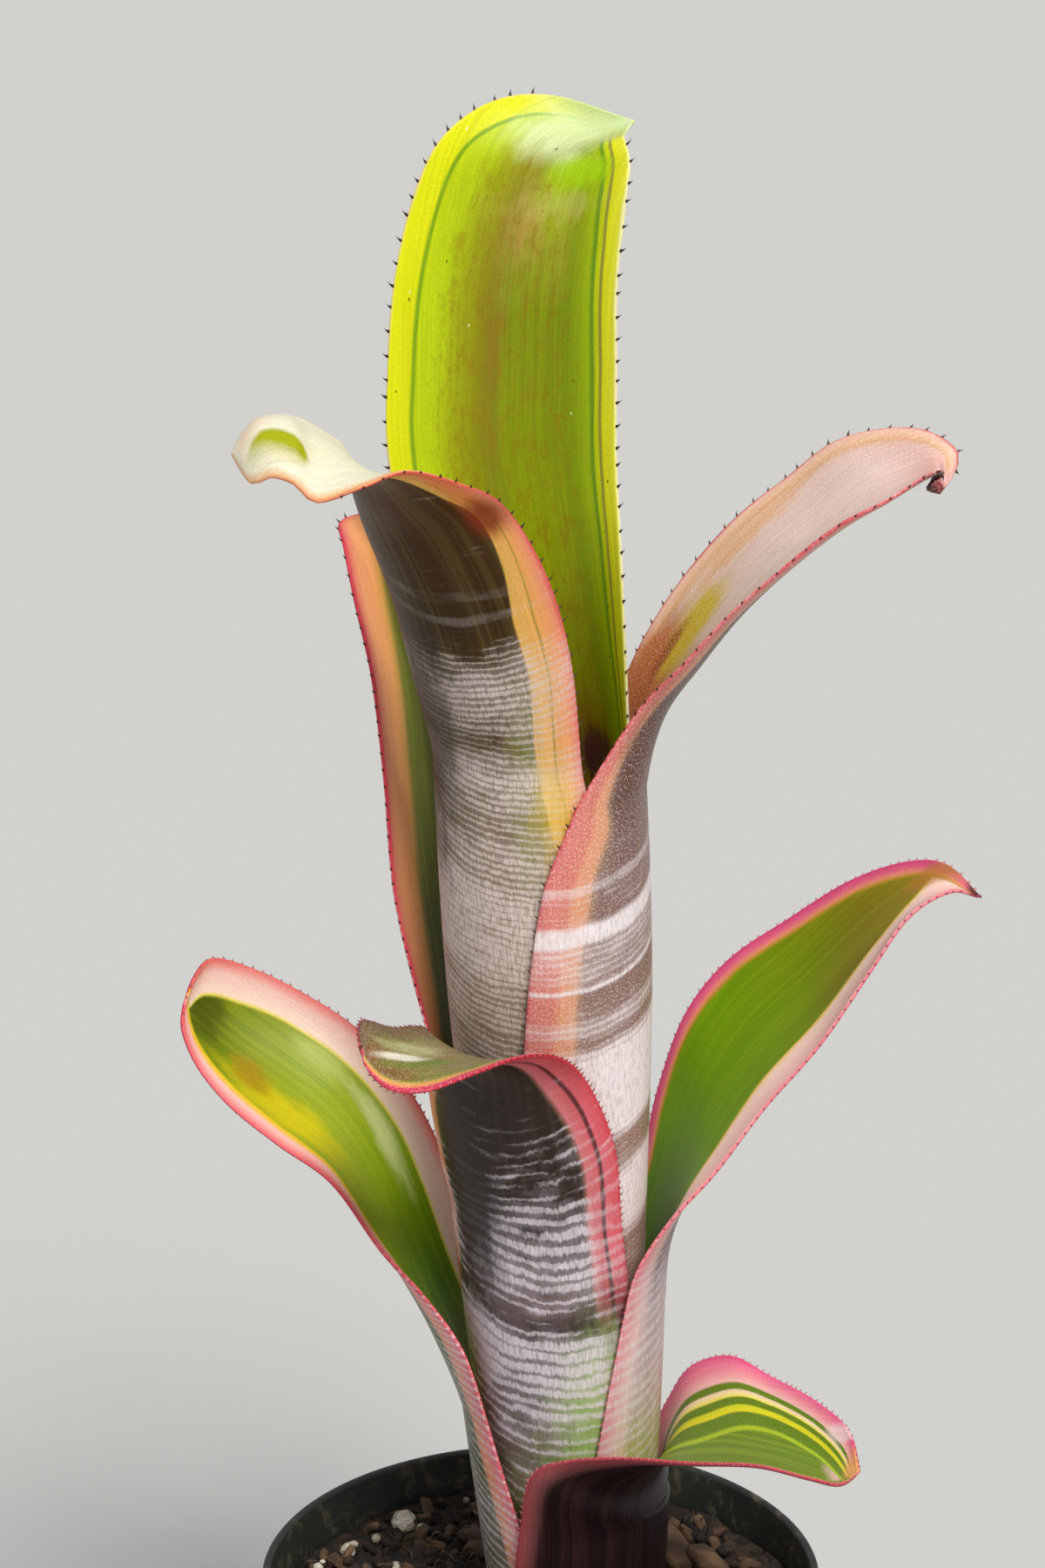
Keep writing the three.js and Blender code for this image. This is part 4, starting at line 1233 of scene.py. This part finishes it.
def pot_material():
    """Dark plastic, dusty near the rim and faintly drawn out downwards."""
    shader = Shader("pot_plastic")
    place = shader.place()
    _, _, height = shader.parts(place)
    mottled = shader.noise(place, 55, detail=4, roughness=0.6)
    base, _ = shader.ramp(mottled, [(0.3, (26, 31, 26)), (0.7, (38, 44, 37))])
    dust = shader.noise(place, 240, detail=3, roughness=0.7)
    near_rim = shader.step(height, *[mm * MM for mm in DUSTY_HEIGHTS])
    dusty = shader.times(shader.step(dust, 0.5, 0.72), shader.line(near_rim, 0.35, 0.08))
    base = shader.mix(dusty, base, (120, 108, 88))
    drawn = shader.noise(shader.stretched(place, (900, 900, 60)))
    rough = shader.line(drawn, 0.12, shader.line(mottled, 0.2, 0.28))
    height_map = shader.line(drawn, 0.4, dust)
    return shader.finish(base, rough, shader.bump(height_map, strength=0.25, distance_mm=0.08))


def drain_cutter():
    """Cylinders through the pot's floor, joined."""
    bpy.ops.object.select_all(action="DESELECT")
    cutters = []
    for cosine, sine in circle(DRAIN_COUNT):
        bpy.ops.mesh.primitive_cylinder_add(
            vertices=DRAIN_SIDES, radius=DRAIN_RADIUS * MM, depth=4 * FLOOR * MM,
            location=(DRAIN_RING_RADIUS * cosine * MM, DRAIN_RING_RADIUS * sine * MM, 0))
        cutters.append(bpy.context.object)
    for cutter in cutters:
        cutter.select_set(True)
    bpy.context.view_layer.objects.active = cutters[0]
    bpy.ops.object.join()
    return bpy.context.object


def pot_piece():
    """The moulded pot with rounded edges, a stacking step and drain holes."""
    inwards, upwards = RIM_STEP
    profile = [
        (0, 0), (FOOT_RADIUS, 0), (NECK_RADIUS, NECK_HEIGHT),
        (RIM_RADIUS - inwards, NECK_HEIGHT + upwards),
        (RIM_RADIUS, POT_HEIGHT), (RIM_RADIUS - WALL, POT_HEIGHT),
        (RIM_RADIUS - 2 * WALL, NECK_HEIGHT + 2 * WALL), (NECK_RADIUS - WALL, NECK_HEIGHT),
        (FOOT_RADIUS - WALL, FLOOR), (0, FLOOR)]
    pot = turned("pot_moulded", rounded(profile), pot_material())
    holes = drain_cutter()
    cut = pot.modifiers.new("drains", "BOOLEAN")
    cut.operation = "DIFFERENCE"
    cut.object = holes
    bpy.ops.object.select_all(action="DESELECT")
    bpy.context.view_layer.objects.active = pot
    pot.select_set(True)
    bpy.ops.object.modifier_apply(modifier=cut.name)
    bpy.data.objects.remove(holes)
    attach(pot, "root")
    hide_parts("pot")
    return pot


def soil_height(x, y):
    """Height of the soil: three gentle waves of lumps."""
    return SOIL_LEVEL + SOIL_LUMP * (0.5 * math.sin(0.21 * x + 1.3) * math.cos(0.17 * y)
                                     + 0.3 * math.sin(0.43 * x - 0.37 * y)
                                     + 0.2 * math.cos(0.61 * y + 0.29 * x))


def soil_material():
    """Dark crumbs of several tones, with grit."""
    shader = Shader("potting_mix")
    place = shader.place()
    crumb_size = 420
    tone = shader.parts(shader.voronoi(place, crumb_size, "Color"))[0]
    cloud = shader.noise(place, 90, detail=4, roughness=0.6)
    base, _ = shader.ramp(tone, [(0.0, (22, 16, 11)), (0.6, (44, 32, 22)), (1.0, (76, 58, 40))])
    base = shader.mix(shader.times(cloud, 0.6), base, (24, 17, 12))
    grit = shader.noise(place, 1500, detail=3, roughness=0.7)
    height = shader.line(grit, 0.5, shader.voronoi(place, crumb_size))
    return shader.finish(base, 0.9, shader.bump(height, strength=0.9, distance_mm=1.2))


def soil_piece():
    """Crumbly soil round the leaf bases, filling the pot down to its floor."""
    hole_x = tube_x(ROOT_HEIGHT)
    hole = HOLE_RADIUS - HOLE_CLOSER
    edge = RIM_RADIUS - 2 * WALL - CLEARANCE
    foot = FLOOR + CLEARANCE
    draw = np.random.default_rng(SOIL_SEED)
    points = [(hole_x, 0, ROOT_HEIGHT)]
    rings = [[0] * SOIL_SIDES]

    def ring(radius, centre_x, height):
        start = len(points)
        for cosine, sine in circle(SOIL_SIDES):
            x = centre_x + radius * cosine
            y = radius * sine
            points.append((x, y, height(x, y) if callable(height) else height))
        rings.append(list(range(start, start + SOIL_SIDES)))

    ring(hole, hole_x, ROOT_HEIGHT)
    for i in range(SOIL_RINGS + 1):
        share = i / SOIL_RINGS
        rough = 0.0 if i in (0, SOIL_RINGS) else SOIL_ROUGHNESS
        ring(hole + (edge - hole) * share, hole_x * (1 - share),
             lambda x, y: soil_height(x, y) - SOIL_SINK + rough * draw.normal())
    ring(edge, 0, NECK_HEIGHT + 2 * WALL)
    ring(NECK_RADIUS - WALL - CLEARANCE, 0, NECK_HEIGHT)
    ring(FOOT_RADIUS - WALL - CLEARANCE, 0, foot)
    points.append((0, 0, foot))
    rings.append([len(points) - 1] * SOIL_SIDES)
    soil = mesh_object("soil_fine", points, ring_faces(rings, flip=True), [soil_material()])
    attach(soil, "root")
    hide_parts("soil")
    return soil


class SeededNumbers:
    """The same draws as the model's own generator, so that chips and grains match it."""

    def __init__(self, seed):
        self.state = seed

    def __call__(self):
        self.state = self.state * 16807 % 2147483647
        return self.state / 2147483647


def on_soil(radius, share, angle):
    """Place on the soil at an angle, shifted to the tube's side by as much as share leaves."""
    return tube_x(ROOT_HEIGHT) * (1 - share) + radius * math.cos(angle), radius * math.sin(angle)


def scatter():
    """Place, size and turn of the model's chips and grains."""
    draw = SeededNumbers(SCATTER_SEED)
    pieces = []
    for i in range(CHIP_COUNT + GRAIN_COUNT):
        is_chip = i < CHIP_COUNT
        angle = 2 * math.pi * (i * TURN_BETWEEN_PIECES + TURN_UNEVEN * draw())
        clear = CHIP_SIZE[0] * CHIP_CLEAR if is_chip else GRAIN_RADIUS * GRAIN_CLEAR
        nearest = HOLE_RADIUS + clear
        furthest = RIM_RADIUS - 2 * WALL - clear
        radius = nearest + (furthest - nearest) * draw()
        share = (radius - HOLE_RADIUS) / (RIM_RADIUS - HOLE_RADIUS)
        place = on_soil(radius, share, angle)
        scale = SMALLEST_SCALE + SCALE_SPAN * draw()
        turns = (PIECE_TILT * (draw() - 0.5), PIECE_TILT * (draw() - 0.5), 2 * math.pi * draw())
        pieces.append((is_chip, place, scale, turns))
    return pieces


def laid(shape, turns, place, rise):
    """A shape turned about Y, then X, then Z, and laid on the soil at a place."""
    points = np.array(shape[0], float)
    for (i, j), angle in zip(((2, 0), (1, 2), (0, 1)), turns):
        first, second = points[:, i].copy(), points[:, j].copy()
        points[:, i] = first * math.cos(angle) - second * math.sin(angle)
        points[:, j] = first * math.sin(angle) + second * math.cos(angle)
    return points + (*place, soil_height(*place) + rise), shape[1]


def chip_shape(draw, size):
    """A splintered block of bark: a rough bar of rings with torn ends."""
    points = []
    for i in range(CHIP_RINGS):
        share = i / (CHIP_RINGS - 1) * 2 - 1
        taper = 1 - CHIP_TAPER * abs(share) ** 3
        for corner in circle(CHIP_SIDES):
            push = 1 + draw.normal(0, CHIP_ROUGHNESS)
            y, z = [math.copysign(abs(part) ** CHIP_SQUARENESS, part) * side / 2 * taper * push
                    for part, side in zip(corner, size[1:])]
            torn = draw.normal(0, CHIP_TEAR) if i in (0, CHIP_RINGS - 1) else 0
            points.append(((share + torn) * size[0] / 2, y, z))
    return points, bar_faces(CHIP_RINGS, CHIP_SIDES, flip=True)


def grain_shape(draw, radius):
    """A rough rounded grain."""
    points = [(0, 0, -radius)]
    rings = [[0] * GRAIN_SIDES]
    for i in range(1, GRAIN_RINGS):
        polar = math.pi * i / GRAIN_RINGS
        rings.append(list(range(len(points), len(points) + GRAIN_SIDES)))
        for cosine, sine in circle(GRAIN_SIDES):
            r = radius * (1 + draw.normal(0, GRAIN_ROUGHNESS))
            points.append((r * math.sin(polar) * cosine, r * math.sin(polar) * sine,
                           -r * math.cos(polar)))
    points.append((0, 0, radius))
    rings.append([len(points) - 1] * GRAIN_SIDES)
    return points, ring_faces(rings)


def fibre_shape(draw, x, y, length, radius):
    """A thin fibre that lies on the soil in a loose curve."""
    heading = draw.uniform(0, 2 * math.pi)
    curl = draw.uniform(-FIBRE_CURL, FIBRE_CURL)
    points = []
    for i in range(FIBRE_STEPS + 1):
        z = soil_height(x, y) + FIBRE_RISE + FIBRE_WAVE * math.sin(i * FIBRE_WAVE_TURN + x)
        for cosine, sine in circle(FIBRE_SIDES):
            side = radius * cosine
            points.append((x - side * math.sin(heading), y + side * math.cos(heading),
                           z + radius * sine))
        heading += curl + draw.uniform(-FIBRE_WAVER, FIBRE_WAVER)
        x += length / FIBRE_STEPS * math.cos(heading)
        y += length / FIBRE_STEPS * math.sin(heading)
    return points, bar_faces(FIBRE_STEPS + 1, FIBRE_SIDES)


def gather(name, shapes, material):
    """One piece from many (points, faces)."""
    points, faces = [], []
    for shape_points, shape_faces in shapes:
        start = len(points)
        points += [tuple(p) for p in shape_points]
        faces += [[start + index for index in face] for face in shape_faces]
    piece = mesh_object(name, points, faces, [material])
    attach(piece, "root")
    return piece


def bark_material():
    """Brown bark, fibrous along its length."""
    shader = Shader("bark")
    place = shader.place()
    tone = shader.noise(place, 130, detail=3, roughness=0.6)
    fibre = shader.noise(shader.stretched(place, (300, 1500, 1500)), detail=3)
    base, _ = shader.ramp(tone, [(0.3, (50, 34, 22)), (0.5, (94, 68, 46)), (0.7, (140, 112, 80))])
    base = shader.mix(shader.times(fibre, 0.5), base, (50, 34, 22))
    return shader.finish(base, 0.85, shader.bump(fibre, strength=0.8, distance_mm=0.5))


def perlite_material():
    """Off-white grains, pitted and stained."""
    shader = Shader("perlite")
    place = shader.place()
    pits = shader.voronoi(place, 1400)
    stain = shader.noise(place, 260, detail=3)
    base, _ = shader.ramp(stain, [(0.35, (150, 138, 116)), (0.6, (214, 206, 190))])
    return shader.finish(base, 0.85, shader.bump(pits, strength=0.8, distance_mm=0.5))


def loose_piece(draw, kind, chips, grains, crumbs):
    """One small grain, chip or crumb at a drawn place, added to its own list."""
    angle = draw.uniform(0, 2 * math.pi)
    share = math.sqrt(draw.uniform(*LOOSE_SPREAD))
    nearest = HOLE_RADIUS + LOOSE_FROM_HOLE
    furthest = RIM_RADIUS - 2 * WALL - LOOSE_FROM_RIM
    place = on_soil(nearest + (furthest - nearest) * share, share, angle)
    turns = (draw.uniform(-LOOSE_TILT, LOOSE_TILT), draw.uniform(-LOOSE_TILT, LOOSE_TILT),
             draw.uniform(0, 2 * math.pi))
    if kind % GRAIN_EVERY == 0:
        shape, target = grain_shape(draw, draw.uniform(*SMALL_GRAIN)), grains
    else:
        spans, target = (SMALL_CHIP, chips) if kind % CHIP_EVERY == 0 else (CRUMB, crumbs)
        shape = chip_shape(draw, [draw.uniform(*span) for span in spans])
    target.append(laid(shape, turns, place, LOOSE_RISE))


def soil_cover():
    """Bark chips, perlite grains, small crumbs and fibres on the soil."""
    draw = np.random.default_rng(COVER_SEED)
    chips, grains, crumbs, fibres = [], [], [], []
    for is_chip, place, scale, turns in scatter():
        if is_chip:
            shape, target = chip_shape(draw, [side * scale for side in CHIP_SIZE]), chips
        else:
            shape, target = grain_shape(draw, GRAIN_RADIUS * scale), grains
        target.append(laid(shape, turns, place, PIECE_RISE * scale))
    for kind in range(LOOSE_COUNT):
        loose_piece(draw, kind, chips, grains, crumbs)
    for _ in range(FIBRE_COUNT):
        angle = draw.uniform(0, 2 * math.pi)
        radius = draw.uniform(HOLE_RADIUS + FIBRE_FROM_HOLE, RIM_RADIUS - FIBRE_FROM_RIM)
        fibres.append(fibre_shape(draw, radius * math.cos(angle), radius * math.sin(angle),
                                  draw.uniform(*FIBRE_LENGTH), draw.uniform(*FIBRE_RADIUS)))
    bark = bark_material()
    gather("bark_chips", chips, bark)
    gather("perlite_grains", grains, perlite_material())
    gather("soil_crumbs", crumbs, soil_material())
    gather("fibres", fibres, bark)


def stem_piece():
    """Short woody stem in the tube."""
    shader = Shader("stem_wood")
    fibres = shader.noise(shader.place(), 400, detail=3)
    base, _ = shader.ramp(fibres, [(0.3, (92, 74, 44)), (0.7, (146, 122, 76))])
    material = shader.finish(base, 0.8, shader.bump(fibres, strength=0.6, distance_mm=0.4))
    profile = [(0, ROOT_HEIGHT), (STEM_RADIUS, ROOT_HEIGHT), (STEM_RADIUS + 1, STEM_TOP - 3),
               (STEM_RADIUS - 1, STEM_TOP - 1), (0, STEM_TOP)]
    stem = turned("stem_fine", rounded(profile), material, STEM_SIDES)
    for vertex in stem.data.vertices:
        vertex.co.x += tube_x(ROOT_HEIGHT) * MM
    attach(stem, "root")
    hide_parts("stem")
    return stem


def stage():
    """Pale floor, soft lights and the camera."""
    bpy.ops.mesh.primitive_plane_add(size=FLOOR_SIZE, location=FLOOR_PLACE)
    floor = bpy.context.object
    floor.name = "floor"
    floor.data.materials.append(Shader("pale_floor").finish(FLOOR_COLOUR, roughness=0.9))

    scene = bpy.context.scene
    world = bpy.data.worlds.new("soft_room")
    world.use_nodes = True
    background = world.node_tree.nodes["Background"]
    background.inputs["Color"].default_value = SKY_COLOUR
    background.inputs["Strength"].default_value = SKY_STRENGTH
    scene.world = world
    scene.view_settings.view_transform = "Standard"

    sun = bpy.data.lights.new("key", "SUN")
    sun.energy = SUN_STRENGTH
    sun.angle = math.radians(SUN_SOFTNESS)
    sun.color = SUN_COLOUR
    lamp = bpy.data.objects.new("key", sun)
    lamp.rotation_euler = facing_origin(SUN_PLACE)
    scene.collection.objects.link(lamp)

    camera = bpy.data.cameras.new("camera")
    camera.lens = CAMERA_LENS
    camera.sensor_width = CAMERA_SENSOR
    viewer = bpy.data.objects.new("camera", camera)
    viewer.location = CAMERA_PLACE
    viewer.rotation_euler = (math.radians(90 - CAMERA_PITCH_DOWN), 0, 0)
    scene.collection.objects.link(viewer)
    scene.camera = viewer


def facing_origin(place):
    """Turn of a lamp at a place that faces the origin."""
    x, y, z = place
    return (math.atan2(math.hypot(x, y), z), 0, math.atan2(x, -y))


stage()
pot_piece()
soil_piece()
soil_cover()
stem_piece()
for number, blade_leaf in enumerate(LEAVES):
    leaf_piece(blade_leaf, number)
